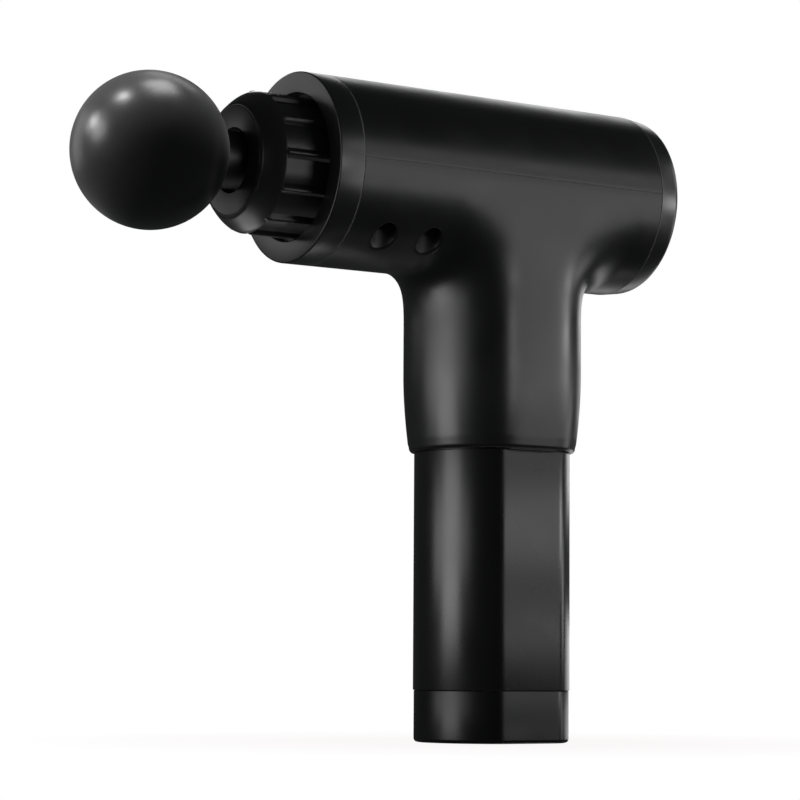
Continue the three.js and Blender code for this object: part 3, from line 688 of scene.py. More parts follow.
def lower_casing():
    """The lower half of the barrel and the handle's sleeve, as one closed grid: up the outside
    of the sleeve, over the flare, out to the seams, and back along the inside."""
    angles = full_turn(288)
    across, along = np.sin(angles), np.cos(angles)
    rings = []

    def upright(reach, z):
        rings.append(np.stack((reach * along, reach * across, np.broadcast_to(z, angles.shape)),
                              axis=1))

    bore = np.minimum(SPIGOT_R + 0.4, (SPIGOT_FLAT + 0.4) / np.maximum(np.abs(across), 1e-6))
    hollow = np.minimum(HANDLE_R - 3.4, (HANDLE_FLAT - 3.5) / np.maximum(np.abs(across), 1e-6))
    skin = handle_reach(angles)

    upright(bore + 0.35, LIP_Z)
    lip = 1.5
    for turn in np.linspace(0, math.pi / 2, 7):
        inset = LIP_TAPER + lip * 0.8 * (1 - math.sin(turn))
        upright(skin - inset, LIP_Z + lip * (1 - math.cos(turn)))
    for z in np.linspace(LIP_Z + lip, TAPER_TOP_Z, 18)[1:]:
        upright(skin - taper(z), z)
    for share in np.linspace(0, 1, 7)[1:-1]:
        upright(skin, TAPER_TOP_Z + (FLARE_Z - TAPER_TOP_Z) * share)
    for t in np.linspace(0, 1, 33):
        rings.append(flare(angles, t))

    foot_x, foot_turn = foot_of_flare(angles)
    edge_x, edge_turn = edge_of_half(foot_x, foot_turn, SEAM_EASE)
    for share in np.linspace(0, 1, 27)[1:]:
        x = foot_x + (edge_x - foot_x) * share
        turn = foot_turn + (edge_turn - foot_turn) * share
        rings.append(on_barrel(x, turn, BARREL_R))
    for inset, drop in ((0.1, 0.1), (0, SEAM_EASE)):
        rings.append(on_barrel(*edge_of_half(foot_x, foot_turn, inset), BARREL_R - drop))
    rim_x, rim_turn = edge_of_half(foot_x, foot_turn, 0)
    top_x = hollow * along
    top_turn = np.arcsin(hollow * across / BARREL_INNER_R)
    for share in np.linspace(0, 1, 13):
        x = rim_x + (top_x - rim_x) * share
        turn = rim_turn + (top_turn - rim_turn) * share
        rings.append(on_barrel(x, turn, BARREL_INNER_R))
    top_z = rings[-1][:, 2]
    for share in np.linspace(0, 1, 9)[1:]:
        upright(hollow, top_z + (LEDGE_Z - top_z) * share)
    for z in np.linspace(LEDGE_Z, LIP_Z + 0.35, 9):
        upright(bore, z)
    shell = loft("lower_shell", rings, SHELL, "casing", closed=True,
                 node="lower_casing")
    seats = [pad_seat(x) for x in (-PAD_X, PAD_X)]
    add_to(shell, *seats, *[boss(x, y) for x, y in well_places()])
    pockets = [catch_pocket(side) for side in (-1, 1)]
    cut_from(shell, *pockets, *[well(x, y) for x, y in well_places()])
    # Paints the inside of each well in that paler grey, as painted light.
    painted(shell, WELL, lambda p: p.z < WELL_FLOOR_Z + 0.1 and any(
        math.hypot(p.x - x, p.y - y) < WELL_R + 0.05 for x, y in well_places()))
    return paint_seam_highlights(shell)


def catch_pocket(side):
    """A pocket in the sleeve for one of the pack's catches."""
    return block(sorted((side * (SPIGOT_R - 0.6), side * 26.1)), (-4, 4), (98.5, 122))


def pad_seat(x):
    """A rib across the barrel's floor for one of the motor's rubber blocks."""
    seat = block((x - 3, x + 3), (-11, 11), (AXIS_Z - 30, AXIS_Z - 26), 0.6)
    inside = rod(BARREL_R - 1, -60, 60, z=AXIS_Z, count=128, axis="X")
    return boolean(seat, inside, "INTERSECT")


def boss(x, y):
    """A post round a screw well, cut to stay inside the casing."""
    post = rod(5.3, 150, AXIS_Z - GAP / 2, x, y)
    inside = turned("inside", [(x - 9, 0), (x - 9, BARREL_R - 1), (x + 9, BARREL_R - 1), (x + 9, 0)],
                    at=AT_AXIS)
    return boolean(post, inside, "INTERSECT")


def well(x, y):
    """A screw well open to the underside, its mouth rounded along the barrel's surface, with the
    screw's hole above it."""
    ease = 0.8
    angles = full_turn(64)
    rings = []

    def add(radius, depth=None, z=None):
        px, py = x + radius * np.cos(angles), y + radius * np.sin(angles)
        if z is None:
            pz = AXIS_Z - np.sqrt(BARREL_R**2 - py**2) + depth
        else:
            pz = np.full(len(angles), z)
        rings.append(np.stack((px, py, pz), axis=1))

    add(WELL_R + ease, -6)
    for turn in np.linspace(0, math.pi / 2, 7):
        add(WELL_R + ease * (1 - math.sin(turn)), ease * (1 - math.cos(turn)) - 0.01)
    add(WELL_R, z=WELL_FLOOR_Z)
    add(1.8, z=WELL_FLOOR_Z)
    add(1.8, z=AXIS_Z + 2)
    return loft("well", rings)


def casing_screws():
    for i, (x, y) in enumerate(well_places()):
        at = (x, y, WELL_FLOOR_Z - GAP)
        screw(f"casing_screw_{i + 1}", "casing", (3.3, 2.2), (1.35, 22), at)


def rings_of_barrel():
    x = FACE_X
    front = [
        (x, 23.9, 0.5), (x, BARREL_R, 0.55), (FRONT_SEAM_X - HALF_SEAM, BARREL_R, SEAM_EASE),
        (FRONT_SEAM_X - HALF_SEAM, 27.4), (x + 2.8, 27.4), (x + 2.8, 23.9),
    ]
    paint_seam_highlights(turned("front_cover_ring", front, RING, "casing", at=AT_AXIS, count=192,
                         node="front_ring"))
    x = REAR_X
    rear = [
        (REAR_SEAM_X + HALF_SEAM, 28.3), (REAR_SEAM_X + HALF_SEAM, BARREL_R, SEAM_EASE),
        (x, BARREL_R - 1.1, 2.6), (x, 25.8, 0.9), (x - 3.7, 25.8), (x - 3.7, 23.5),
        (x - 5.7, 23.5), (x - 5.7, 28.3),
    ]
    paint_seam_highlights(turned("rear_cover_ring", rear, RING, "casing", at=AT_AXIS, count=192,
                         steps=8, node="rear_ring"))


# ---- Nose collar ---------------------------------------------------------------------------------

NOSE_RIBS = 12
PANEL_X = -94.7


def step(value, start, end):
    """A smooth rise from 0 at start to 1 at end."""
    share = np.clip((value - start) / (end - start), 0, 1)
    return share * share * (3 - 2 * share)


def nose_collar():
    """A cone that opens into a drum of sunk panels between round-nosed ribs."""
    count = NOSE_RIBS * 48
    angles = full_turn(count)
    pitch = 2 * math.pi / NOSE_RIBS
    from_rib = np.abs((angles / pitch + 0.5) % 1 - 0.5) * pitch  # 0 on a rib's crest
    cone_r, panel_r, crest_r, half_rib = 22.9, 21.8, 23.4, 2.3
    across = from_rib * cone_r

    def reach(x):
        rise = np.sin(np.clip((x - NOSE_TIP_X) / 7.6, 0, 1) * math.pi / 2)
        cone = 18.3 + (cone_r - 18.3) * rise
        panel = cone + (panel_r - cone) * step(x, PANEL_X - 0.1, PANEL_X + 0.7)
        ahead = np.clip((PANEL_X + 0.9 - x) / 2.6, 0, 1)  # 1 at a rib's tip
        half = half_rib * np.sqrt(max(1 - ahead**2, 1e-6))
        crown = 0.5 + 0.5 * np.cos(np.clip(across / half, 0, 1) * math.pi)
        height = (crest_r - panel_r + 0.5) * (1 - ahead**2) ** 0.5
        rib = panel_r - 0.5 + height * crown**0.8
        if ahead == 1:
            return panel
        # The rib rises out of the surface with a small fillet.
        blend = 0.3
        share = np.clip(0.5 + (rib - panel) / (2 * blend), 0, 1)
        return panel + (rib - panel) * share

    rings = []

    def add(x, radius):
        radius = np.broadcast_to(radius, angles.shape)
        rings.append(np.stack((np.full(count, x), radius * np.sin(angles),
                               AXIS_Z + radius * np.cos(angles)), axis=1))

    rear_x = FACE_X + 6.1
    flange_x = FACE_X + 3.1
    dish = eased([(NOSE_TIP_X + 5.4, WIPER_R), (NOSE_TIP_X + 4.4, WIPER_R, 0.2),
                  (NOSE_TIP_X + 4.4, MOUTH_R), (NOSE_TIP_X, MOUTH_R, 0.15),
                  (NOSE_TIP_X, 17.4, 0.1), (NOSE_TIP_X + 0.15, 17.55, 0.1),
                  (NOSE_TIP_X + 0.02, 17.9, 0.15), (NOSE_TIP_X + 0.3, 18.3, 0.2)], closed=False)
    for x, radius in dish:
        add(x, radius)
    for x in np.linspace(NOSE_TIP_X + 0.45, PANEL_X - 2.2, 14):
        add(x, reach(x))
    for x in np.linspace(PANEL_X - 2.2, PANEL_X + 1.2, 34)[1:]:
        add(x, reach(x))
    for x in np.linspace(PANEL_X + 1.2, flange_x, 14)[1:]:
        add(x, reach(x))
    for x, radius in ((flange_x, 26.5), (rear_x, 26.5), (rear_x, 16.2), (NOSE_TIP_X + 5.4, 16.2)):
        add(x, radius)
    loft("nose_shell", rings, NOSE, "casing", closed=True, node="nose_collar", sharp=40)


# ---- Ball head -----------------------------------------------------------------------------------

GROOVE_XS = (-79.1, -67.1)  # of the stem's two O-rings


def ball_head():
    """A ball with the bore that its stem is pressed into."""
    mouth = STEM_R + GAP
    last = math.pi - math.asin(mouth / BALL_R)
    arc = [(BALL_X - BALL_R * math.cos(a), BALL_R * math.sin(a) if a else 0)
           for a in np.linspace(0, last, 90)]
    profile = arc + [(-112.0, mouth), (-112.0, 6.4), (-126, 6.4), (-126, 0)]
    ball = turned("foam_ball", profile, FOAM, "head", at=AT_AXIS, count=160,
                  node="ball_head")


def head_stem():
    grooves = []
    for x in GROOVE_XS:
        grooves += [(x - 0.8, STEM_R, 0.1), (x - 0.8, 8.05, 0.2), (x + 0.8, 8.05, 0.2),
                    (x + 0.8, STEM_R, 0.1)]
    profile = [(-125.7, 0), (-125.7, 6, 0.5), (-111.7, 6), (-111.7, STEM_R, 0.2),
               *grooves, (-58.6, STEM_R, 1.2), (-58.6, 4.2, 0.3),
               (-66, 3.4, 0.3), (-66, 0)]
    turned("stem_rod", profile, STEM, "head", at=AT_AXIS, node="head_stem")
    for i, x in enumerate(GROOVE_XS):
        cord = [(x + 0.55 * math.cos(a), 8.85 + 0.55 * math.sin(a))
                for a in full_turn(20)]
        turned(f"o_ring_{i + 1}", cord, RUBBER, "head", at=AT_AXIS,
               node=f"stem_o_ring_{i + 1}")


# ---- Battery pack --------------------------------------------------------------------------------

PACK_CORNER = 1.8  # how far the corners of its flats are rounded


def battery_pack():
    spigot_z = LIP_Z - GAP
    low_z = CAP_TOP_Z + 2 * HALF_SEAM
    profile = [
        *inset_by(PACK_R, PACK_FLAT, [
            (0.3, low_z), (0.08, low_z + 0.08), (0, low_z + 0.3), (0, spigot_z - 0.4),
            (0.12, spigot_z - 0.1), (0.4, spigot_z)]),
        *inset_by(SPIGOT_R, SPIGOT_FLAT, [
            (0, spigot_z), (0, SPIGOT_TOP_Z - 1), (0.3, SPIGOT_TOP_Z - 0.3), (1, SPIGOT_TOP_Z),
            (2.2, SPIGOT_TOP_Z), (2.2, 91.2)]),
        *inset_by(PACK_R, PACK_FLAT, [(2.4, 91), (2.4, low_z)]),
    ]
    shell = prism("pack_shell", profile, PACK, "pack", corner=PACK_CORNER, closed=True,
                  node="battery_shell")
    channels = [block(sorted((side * (SPIGOT_R - 1), side * (SPIGOT_R + 1))), (-4.4, 4.4),
                      (104, 123)) for side in (-1, 1)]
    cut_from(shell, *channels)


def bottom_cap():
    profile = inset_by(CAP_R, CAP_FLAT, [
        (1.3, 0), (0.75, 0.12), (0.3, 0.45), (0.05, 0.95), (0, 1.3), (0, CAP_TOP_Z - 0.3),
        (0.08, CAP_TOP_Z - 0.08), (0.3, CAP_TOP_Z), (2.4, CAP_TOP_Z), (2.4, CAP_TOP_Z + 1.5),
        (3.4, CAP_TOP_Z + 1.5), (3.4, 2.4),
    ])
    cap = prism("foot_cap", profile, CAP, "pack", corner=PACK_CORNER, node="bottom_cap")
    cap_openings(cap)


# ---- Nose and rear internals ---------------------------------------------------------------------

def nose_inside():
    rear_x = FACE_X + 6.4
    plate = turned("nose_bracket", [
        (rear_x, 19.9, 0.2), (rear_x, 27, 0.4), (rear_x + 2.7, 27, 0.4), (rear_x + 2.7, 23, 0.5),
        (rear_x + 8.7, 23, 0.4), (rear_x + 8.7, 19.9, 0.2),
    ], ALUMINIUM, "casing", at=AT_AXIS, node="nose_plate")
    holes = [rod(1.3, rear_x - 1, rear_x + 4, 0, 24.9 * math.sin(a), AXIS_Z + 24.9 * math.cos(a),
                 count=24, axis="X") for a in np.arange(6) * math.pi / 3]
    cut_from(plate, *holes)
    bore = [(x, 12.75 + (0.25 if i % 2 else 0), 0.1)
            for i, x in enumerate((-66, -73, -73.6, -80, -80.6, -88, -88.6, -95.9))]
    turned("bronze_bush", [(-95.9, 15.9, 0.3), (-66, 15.9, 0.3), *bore], BRONZE, "casing",
           at=AT_AXIS, node="guide_bush")
    ridges = [(x, 19.5 - 0.5 * (i % 2), 0.3) for i, x in enumerate(np.arange(-73.4, -65.6, 1.1))]
    turned("bush_mount", [(-73.6, 16.3, 0.2), *ridges, (-65.5, 19.4, 0.3), (-65.5, 16.3, 0.2)],
           RUBBER, "casing", at=AT_AXIS, node="bush_damper")


def rear_end():
    """The panel with its row of level marks, the ring of light and the push button."""
    x = REAR_X - 0.8
    panel = turned("rear_cover", [
        (x - 2.6, 14.6), (x, 14.6, 0.4), (x - 0.3, 20), (x, 25.5, 0.5), (x - 2.6, 25.5),
    ], PANEL, "casing", at=AT_AXIS, count=160, node="rear_panel")
    marks = [rod(0.7, x - 0.8, x + 1, 0, 20 * math.sin(a), AXIS_Z + 20 * math.cos(a), count=24,
                 axis="X") for a in np.radians((-32, -16, 0, 16, 32))]
    cut_from(panel, *marks)
    turned("light_ring", [(x - 6.2, 12.2), (x - 0.1, 12.2, 0.4), (x, 14.3, 0.4), (x - 6.2, 14.3)],
           GLOW, "casing", at=AT_AXIS, node="led_ring")
    face = REAR_X - 0.4
    button = turned("push_button", [
        (face - 4.6, 0), (face - 4.6, 3, 0.3), (face - 1.8, 3, 0.3), (face - 1.8, 11.8, 0.2),
        (face, 11.8, 1.0), (face, 10, 0.6), (face - 0.7, 6, 2), (face - 0.8, 0),
    ], BUTTON, "button", at=AT_AXIS, node="speed_button")
    ring = turned("ring", [(face - 1.1, 3.3), (face - 1.1, 4.0), (face, 4.0), (face, 3.3)],
                  at=AT_AXIS, count=64)
    top = AXIS_Z + 4
    boolean(ring, block((face - 2, face + 1), (-1.3, 1.3), (top - 2, top + 1)), "DIFFERENCE")
    bar = block((face - 1.1, face), (-0.35, 0.35), (top - 1.8, top + 0.8))
    cut_from(button, ring, bar)


def chips(places, base, height, axis):
    """Small components standing on a board. A place is (a, b, half length, half width)."""
    low, high = sorted((base - 0.05 * np.sign(height), base + height))
    return [slab("chip", oblong(long, wide, 0.15, a, b), low, high, axis=axis)
            for a, b, long, wide in places]


def round_board(name, node, x0, x1, radius, places):
    """A round board with components on its front face."""
    board = turned(name, [(x0, 0), (x0, radius, 0.1), (x1, radius, 0.1), (x1, 0)], BOARD, "casing",
                   at=AT_AXIS, node=node)
    add_to(board, *chips([(a, AXIS_Z + b, l, w) for a, b, l, w in places], x0, -1.4, "X"))
    smooth(board)
    painted(board, SWITCH, lambda p: p.x < x0 - 0.02)


def electronics():
    round_board("panel_board", "control_board", 47, 48.6, 23,
                [(0, 0, 4, 4), (-12, 5, 3, 2), (12, 5, 2.5, 2.5), (0, -13, 4, 2.5), (0, 14, 5, 2),
                 (-11, -8, 1.5, 1), (11, -8, 1.5, 1)])
    bridge = [(y, z, 2.6, 3) for z in (-4, -12) for y in (-8, 0, 8)]
    round_board("motor_board", "driver_board", 40, 41.6, 25.5,
                bridge + [(-14, 8, 3, 3), (14, 8, 3.5, 2), (0, -19, 4, 2)])
    can = turned("capacitor_can", [
        (27, 0), (27, 4.4, 0.3), (27.3, 5, 0.3), (36.6, 5, 0.2), (37, 4.6, 0.2), (37.4, 5, 0.2),
        (39.7, 5, 0.3), (39.7, 0),
    ], WRAP, "casing", at=(0, 0, AXIS_Z + 12), count=64, node="driver_capacitor")
    painted(can, ALUMINIUM, lambda p: p.x < 27.1)
    switch = block((48.9, 50.2), (-3, 3), (AXIS_Z - 3, AXIS_Z + 3), 0.4)
    plunger = rod(1.6, 50.1, 50.9, z=AXIS_Z, axis="X")
    tact = settled(add_to(switch, plunger), "tact_switch", STEEL, "casing", "button_switch")
    bevelled(tact, 0.12)


def settled(piece, name, material, body, node):
    """Names a piece that was built from tools, and puts it in place of its CAD node."""
    piece.name = name
    piece.data.name = name
    piece.data.materials.clear()
    return smooth(stand_in(piece, material, body, node))


# ---- Motor, crank and piston ---------------------------------------------------------------------

CRANK_X = 5.0
PLATE_LOW, PLATE_TOP = AXIS_Z - 16.5, AXIS_Z - 13.5
YOKE_SCREW_YS = (-10.2, 10.2)


def coil(angle):
    """The wire on one tooth of the stator: rows of turns that bulge between their grooves."""
    turns, start, end = 6, 11.2, 15.4
    rings = []
    for along in np.linspace(start, end, turns * 6 + 1):
        bulge = 0.25 * abs(math.sin((along - start) / (end - start) * turns * math.pi))
        line = eased(oblong(2.6 + bulge, 8.2 + bulge, 1.4))
        rings.append(np.stack((along * math.cos(angle) - line[:, 0] * math.sin(angle),
                               along * math.sin(angle) + line[:, 0] * math.cos(angle),
                               AXIS_Z - 28.5 + line[:, 1]), axis=1))
    return loft("coil", rings)


def tooth(angle):
    half = math.asin(1.6 / 17.2)
    ends = [(17.2 * math.cos(angle + a), 17.2 * math.sin(angle + a)) for a in (-half, half)]
    root = [(9.5 * math.cos(angle + a), 9.5 * math.sin(angle + a)) for a in (0.17, -0.17)]
    return slab("tooth", [*ends, *root], AXIS_Z - 35.5, AXIS_Z - 21.5)


def motor():
    plate = slab("plate", oblong(33, 19.5, 4), PLATE_LOW, PLATE_TOP)
    boolean(plate, rod(7, AXIS_Z - 38, PLATE_TOP - 1, count=64), "UNION")
    holes = [rod(3.2, PLATE_LOW - 1, PLATE_TOP + 1, x, y) for x in (-20, 20) for y in (-11, 11)]
    cut_from(plate, rod(5.4, AXIS_Z - 39, AXIS_Z, count=64), *holes)
    bevelled(settled(plate, "motor_bracket", ALUMINIUM, "casing", "motor_plate"), 0.3)

    core = turned("core", [(AXIS_Z - 35.5, 7.4, 0.2), (AXIS_Z - 35.5, 10.5), (AXIS_Z - 21.5, 10.5),
                           (AXIS_Z - 21.5, 7.4, 0.2)], axis="Z", count=72)
    spokes = np.arange(9) * 2 * math.pi / 9
    add_to(core, *[tooth(a) for a in spokes])
    add_to(core, *[coil(a) for a in spokes])
    stator = settled(core, "wound_stator", WINDING, "casing", "motor_stator")
    painted(stator, BLACK_STEEL, lambda p: not 11.15 < math.hypot(p.x, p.y) < 15.7)

    for name, z in (("lower", AXIS_Z - 38), ("upper", AXIS_Z - 18)):
        profile = [(z, 2.8, 0.1), (z, 3.5), (z + 0.3, 3.6), (z + 0.3, 4.3), (z, 4.4),
                   (z, 5.05, 0.15), (z + 4, 5.05, 0.15), (z + 4, 4.4), (z + 3.7, 4.3),
                   (z + 3.7, 3.6), (z + 4, 3.5), (z + 4, 2.8, 0.1)]
        turned(f"ball_bearing_{name}", profile, STEEL, "casing", axis="Z", count=64,
               node=f"motor_bearing_{name}")

    low, top = AXIS_Z - 41.5, AXIS_Z - 19.5
    can = turned("rotor_cup", [(low, 2.8), (low, 22, 1.2), (top, 22, 0.3), (top, 20, 0.2),
                               (low + 2, 20, 0.6), (low + 2, 2.8)], ALUMINIUM, "crank", axis="Z",
                 node="rotor_can")
    cut_from(can, *[rod(3, low - 1, low + 3, 12.5 * math.cos(a), 12.5 * math.sin(a))
                    for a in np.arange(6) * math.pi / 3])
    low, top = AXIS_Z - 37, AXIS_Z - 20.5
    magnets = turned("magnets", [(low, 17.9, 0.1), (low, 19.4, 0.1), (top, 19.4, 0.1),
                                 (top, 17.9, 0.1)], BLACK_STEEL, "crank", axis="Z", count=140,
                     node="magnet_ring")
    cut_from(magnets, *[rod(0.35, low - 1, top + 1, 17.9 * math.cos(a), 17.9 * math.sin(a),
                            count=8) for a in np.arange(14) * math.pi / 7])
    turned("rotor_shaft", [(AXIS_Z - 42.5, 0), (AXIS_Z - 42.5, 2.5, 0.4), (AXIS_Z - 11.1, 2.5, 0.4),
                           (AXIS_Z - 11.1, 0)], STEEL, "crank", axis="Z", count=64,
           node="motor_shaft")


def crank():
    low, top = AXIS_Z - 13, AXIS_Z - 8.3
    lobe = [(20 * math.cos(a), 20 * math.sin(a)) for a in np.linspace(-1.05, 1.05, 31) + math.pi]
    hub = [(13 * math.cos(a), 13 * math.sin(a)) for a in np.linspace(-2.0, 2.0, 49)]
    disc = slab("disc", lobe + hub, low, top)
    cut_from(disc, rod(2.8, low - 1, AXIS_Z - 10.9, count=48),
             rod(3.3, AXIS_Z - 10.5, top + 1, CRANK_X, count=48),
             rod(2.2, low - 1, top + 1, -14, 7), rod(2.2, low - 1, top + 1, -14, -7))
    bevelled(settled(disc, "crank_web", STEEL, "crank", "crank_disc"), 0.35)
    at = (CRANK_X, 0, AXIS_Z)
    turned("crank_journal", [(-10.3, 0), (-10.3, 3, 0.3), (5.4, 3, 0.5), (5.4, 0)], STEEL, "crank",
           axis="Z", at=at, count=64, node="crank_pin")
    turned("drive_roller", [(-3.8, 3.3, 0.3), (-3.8, 6.4, 0.6), (4, 6.4, 0.6), (4, 3.3, 0.3)],
           STEEL, "crank", axis="Z", at=at, count=96, node="pin_roller")
    turned("nylon_ring", [(-7.6, 8.6, 0.3), (-7.6, 11, 0.3), (-4.6, 11, 0.3), (-4.6, 8.6, 0.3)],
           NYLON, "ring", axis="Z", at=at, count=96, node="wear_ring")


def piston():
    low, top = AXIS_Z - 7.9, AXIS_Z + 4
    frame_block = slab("yoke", oblong(12.4, 15.5, 2, CRANK_X), low, top)
    slot = slab("slot", oblong(6.7, 11.9, 1.5, CRANK_X), low - 1, top + 1)
    screw_holes = [rod(1.7, -9, -2.3, 0, y, AXIS_Z, axis="X") for y in YOKE_SCREW_YS]
    cut_from(frame_block, slot)
    cut_from(frame_block, rod(11.3, low - 1, low + 3.6, CRANK_X, count=96), *screw_holes)
    bevelled(settled(frame_block, "slotted_yoke", ALUMINIUM, "piston", "yoke"), 0.3)

    body = turned("body", [
        (-58, 0), (-58, 9.6, 0.3), (-85, 9.6, 0.2), (-86, 10.4, 0.1), (-86, 12.4, 0.4),
        (-80, 12.4, 0.1), (-79.8, 12.1, 0.1), (-79.2, 12.1, 0.1), (-79, 12.4, 0.1),
        (-48, 12.4, 0.5), (-44, 7, 1.5), (-9.7, 7), (-9.7, 0),
    ], at=AT_AXIS)
    flange = slab("flange", oblong(13.2, 4.75, 1.5, 0, AXIS_Z - 0.75), -11.7, -7.7,
                  axis="X")
    boolean(body, flange, "UNION")
    cut_from(body, *[rod(1.7, -13, -7, 0, y, AXIS_Z, axis="X") for y in YOKE_SCREW_YS])
    settled(body, "piston_rod", ALUMINIUM, "piston", "piston")
    for i, y in enumerate(YOKE_SCREW_YS):
        screw(f"yoke_screw_{i + 1}", "piston", (2.6, 1.8), (1.3, 9), (-12, y, AXIS_Z), axis="X")


# ---- Inside the pack and the handle --------------------------------------------------------------

CELL_PLACES = [(x, y) for x in (-9.5, 9.5) for y in (-9.5, 9.5)]
CELL_LOW_Z = 22.0
CELL_TOP_Z = 87.0
BLADE_XS = (-6.0, 6.0)


def cells():
    for i, (x, y) in enumerate(CELL_PLACES):
        profile = [
            (CELL_LOW_Z, 0), (CELL_LOW_Z, 9.1, 0.5), (CELL_TOP_Z - 4, 9.1, 0.5),
            (CELL_TOP_Z - 3.3, 8.7, 0.3), (CELL_TOP_Z - 2.6, 9.1, 0.3), (CELL_TOP_Z, 9.1, 0.5),
            (CELL_TOP_Z - 0.3, 7.4, 0.2), (CELL_TOP_Z - 0.3, 3, 0.2), (CELL_TOP_Z + 0.9, 3, 0.3),
            (CELL_TOP_Z + 0.9, 0),
        ]
        cell = turned(f"round_cell_{i + 1}", profile, WRAP, "pack", axis="Z", at=(x, y, 0),
                      count=64, node=f"cell_{i + 1}")
        painted(cell, STEEL, lambda p, x=x, y=y: math.hypot(p.x - x, p.y - y) < 7.3)


def cell_tray(name, node, floor_z, up):
    """A tray round one end of the cells, with a window under each and a rib across its floor."""
    height, floor = 8 * up, 2.4 * up
    low, top = sorted((floor_z, floor_z + height))
    profile = inset_by(PACK_R, PACK_FLAT, [
        (3.1, low), (2.8, low + 0.3), (2.8, top - 0.3), (3.1, top)])
    tray = prism(f"{name}_blank", profile)
    room = sorted((floor_z + floor, floor_z + height + up))
    holes = [rod(9.4, *room, x, y, count=64) for x, y in CELL_PLACES]
    cut_from(tray, *holes[::3])
    cut_from(tray, *holes[1:3])
    windows = [rod(4, low - 1, top + 1, x, y) for x, y in CELL_PLACES]
    cut_from(tray, *windows, *[rod(1.7, low - 1, top + 1, 0, y, count=24) for y in (-16, 16)])
    settled(tray, name, NYLON, "pack", node)


def pack_inside():
    cells()
    cell_tray("cell_tray_lower", "cell_holder_lower", CELL_LOW_Z - 2.7, 1)
    cell_tray("cell_tray_upper", "cell_holder_upper", CELL_TOP_Z + 3.6, -1)
    board = prism("protection_board", [(21.8, 20, 95), (21.8, 20, 96.6)], BOARD, "pack",
                  node="battery_board")
    parts = [(0, 0, 3, 3), (-10, 6, 2, 2.5), (-10, -6, 2, 2.5), (10, 7, 2.5, 1.5), (10, -7, 1, 2),
             (0, 13, 4, 1.5), (0, -13, 4, 1.5)]
    add_to(board, *chips(parts, 96.6, 1.6, "Z"))
    smooth(board)
    painted(board, SWITCH, lambda p: p.z > 96.62)
    lid = prism("contact_lid", [(22.1, 20.3, 118.3), (22.1, 20.3, 121), (21.8, 20, 121.3)], BUTTON,
                "pack", node="pack_lid", slot="shell_plastic")
    add_to(lid, block((-9, 9), (-5.6, 5.6), (119, 121.55), 1.5))
    cut_from(lid, *[block((x - 0.9, x + 0.9), (-3.6, 3.6), (117, 123)) for x in BLADE_XS])


def handle_inside():
    low = LEDGE_Z + GAP
    socket = prism("socket_blank", [(HANDLE_R - 3.7, HANDLE_FLAT - 3.8, low),
                                    (HANDLE_R - 3.7, HANDLE_FLAT - 3.8, low + 3)])
    add_to(socket, block((-12, 12), (-7, 7), (low + 2, LEDGE_Z + 10.5), 1.2))
    cut_from(socket, *[block((x - 0.7, x + 0.7), (-3.3, 3.3), (120, 131)) for x in BLADE_XS])
    bevelled(settled(socket, "contact_base", NYLON, "casing", "battery_socket"), 0.25)
    for i, x in enumerate(BLADE_XS):
        outline = [(-2.2, 113, 0.4), (2.2, 113, 0.4), (3, 114.6, 0.4), (3, 130.6, 0.3),
                   (-3, 130.6, 0.3), (-3, 114.6, 0.4)]
        blade = slab(f"contact_blade_{i + 1}", outline, x - 0.4, x + 0.4, COPPER, "casing",
                     axis="X", node=f"socket_blade_{i + 1}")
        bevelled(blade, 0.15)
    for name, side in (("front", -1), ("rear", 1)):
        leaf = [(25.8, 99.5, 0.1), (25.8, 121, 0.1), (25.3, 121, 0.1), (25.3, 114.2, 1.0),
                (24, 112.8, 0.6), (24, 111.2, 0.6), (25.3, 109.8, 1.0), (25.3, 99.5, 0.1)]
        outline = [(side * x, z, ease) for x, z, ease in leaf]
        slab(f"leaf_spring_{name}", outline, -3.4, 3.4, STEEL, "casing", axis="Y",
             node=f"battery_catch_{name}")


# ---- Foot: power switch and charging socket ------------------------------------------------------

SWITCH_X = 12.5
JACK_X = -12.0
CAP_SCREW_YS = (-16.0, 16.0)
KEY_PIVOT_Z = 4.6
KEY_TILT = math.radians(-8)


def foot_fittings():
    x = SWITCH_X
    housing = block((x - 5, x + 5), (-7, 7), (0.5, 8), 0.6)
    boolean(housing, block((x - 4.4, x + 4.4), (-6.4, 6.4), (0, 7.2), 0.3), "DIFFERENCE")
    add_to(housing, block((x - 4.5, x + 4.5), (-6, 6), (7.5, 15.5), 0.5))
    bevelled(settled(housing, "switch_body", SWITCH, "pack", "switch_housing"), 0.15)
    sides = [(-5.3, 0, 0.5), (-5.6, -3.6, 0.4), (-2.8, -2.75, 1.5), (0, -2.4, 1.0),
             (2.8, -2.75, 1.5), (5.6, -3.6, 0.4), (5.3, 0, 0.5)]
    turn = Matrix.Rotation(KEY_TILT, 2)
    outline = [(*(turn @ Vector((y, z))), ease) for y, z, ease in sides]
    key = slab("power_key", outline, x - 4, x + 4, SWITCH, "rocker", axis="X",
               at=(0, 0, KEY_PIVOT_Z), node="rocker_key")
    bevelled(key, 0.25)

    jack = turned("charge_socket", [
        (0.8, 2.9, 0.3), (0.8, 4.3, 0.4), (13, 4.3, 0.3), (13, 0), (2.5, 0), (2.5, 1.05, 0.3),
        (10, 1.05, 0.1), (10, 2.9, 0.1),
    ][::-1], SWITCH, "pack", axis="Z", at=(JACK_X, 0, 0), count=64, node="charging_jack")
    painted(jack, STEEL, lambda p: math.hypot(p.x - JACK_X, p.y) < 1.1 and p.z < 10)
    for i, y in enumerate(CAP_SCREW_YS):
        screw(f"cap_screw_{i + 1}", "pack", (2.9, 1.4), (1.3, 22.5), (0, y, 1.9))


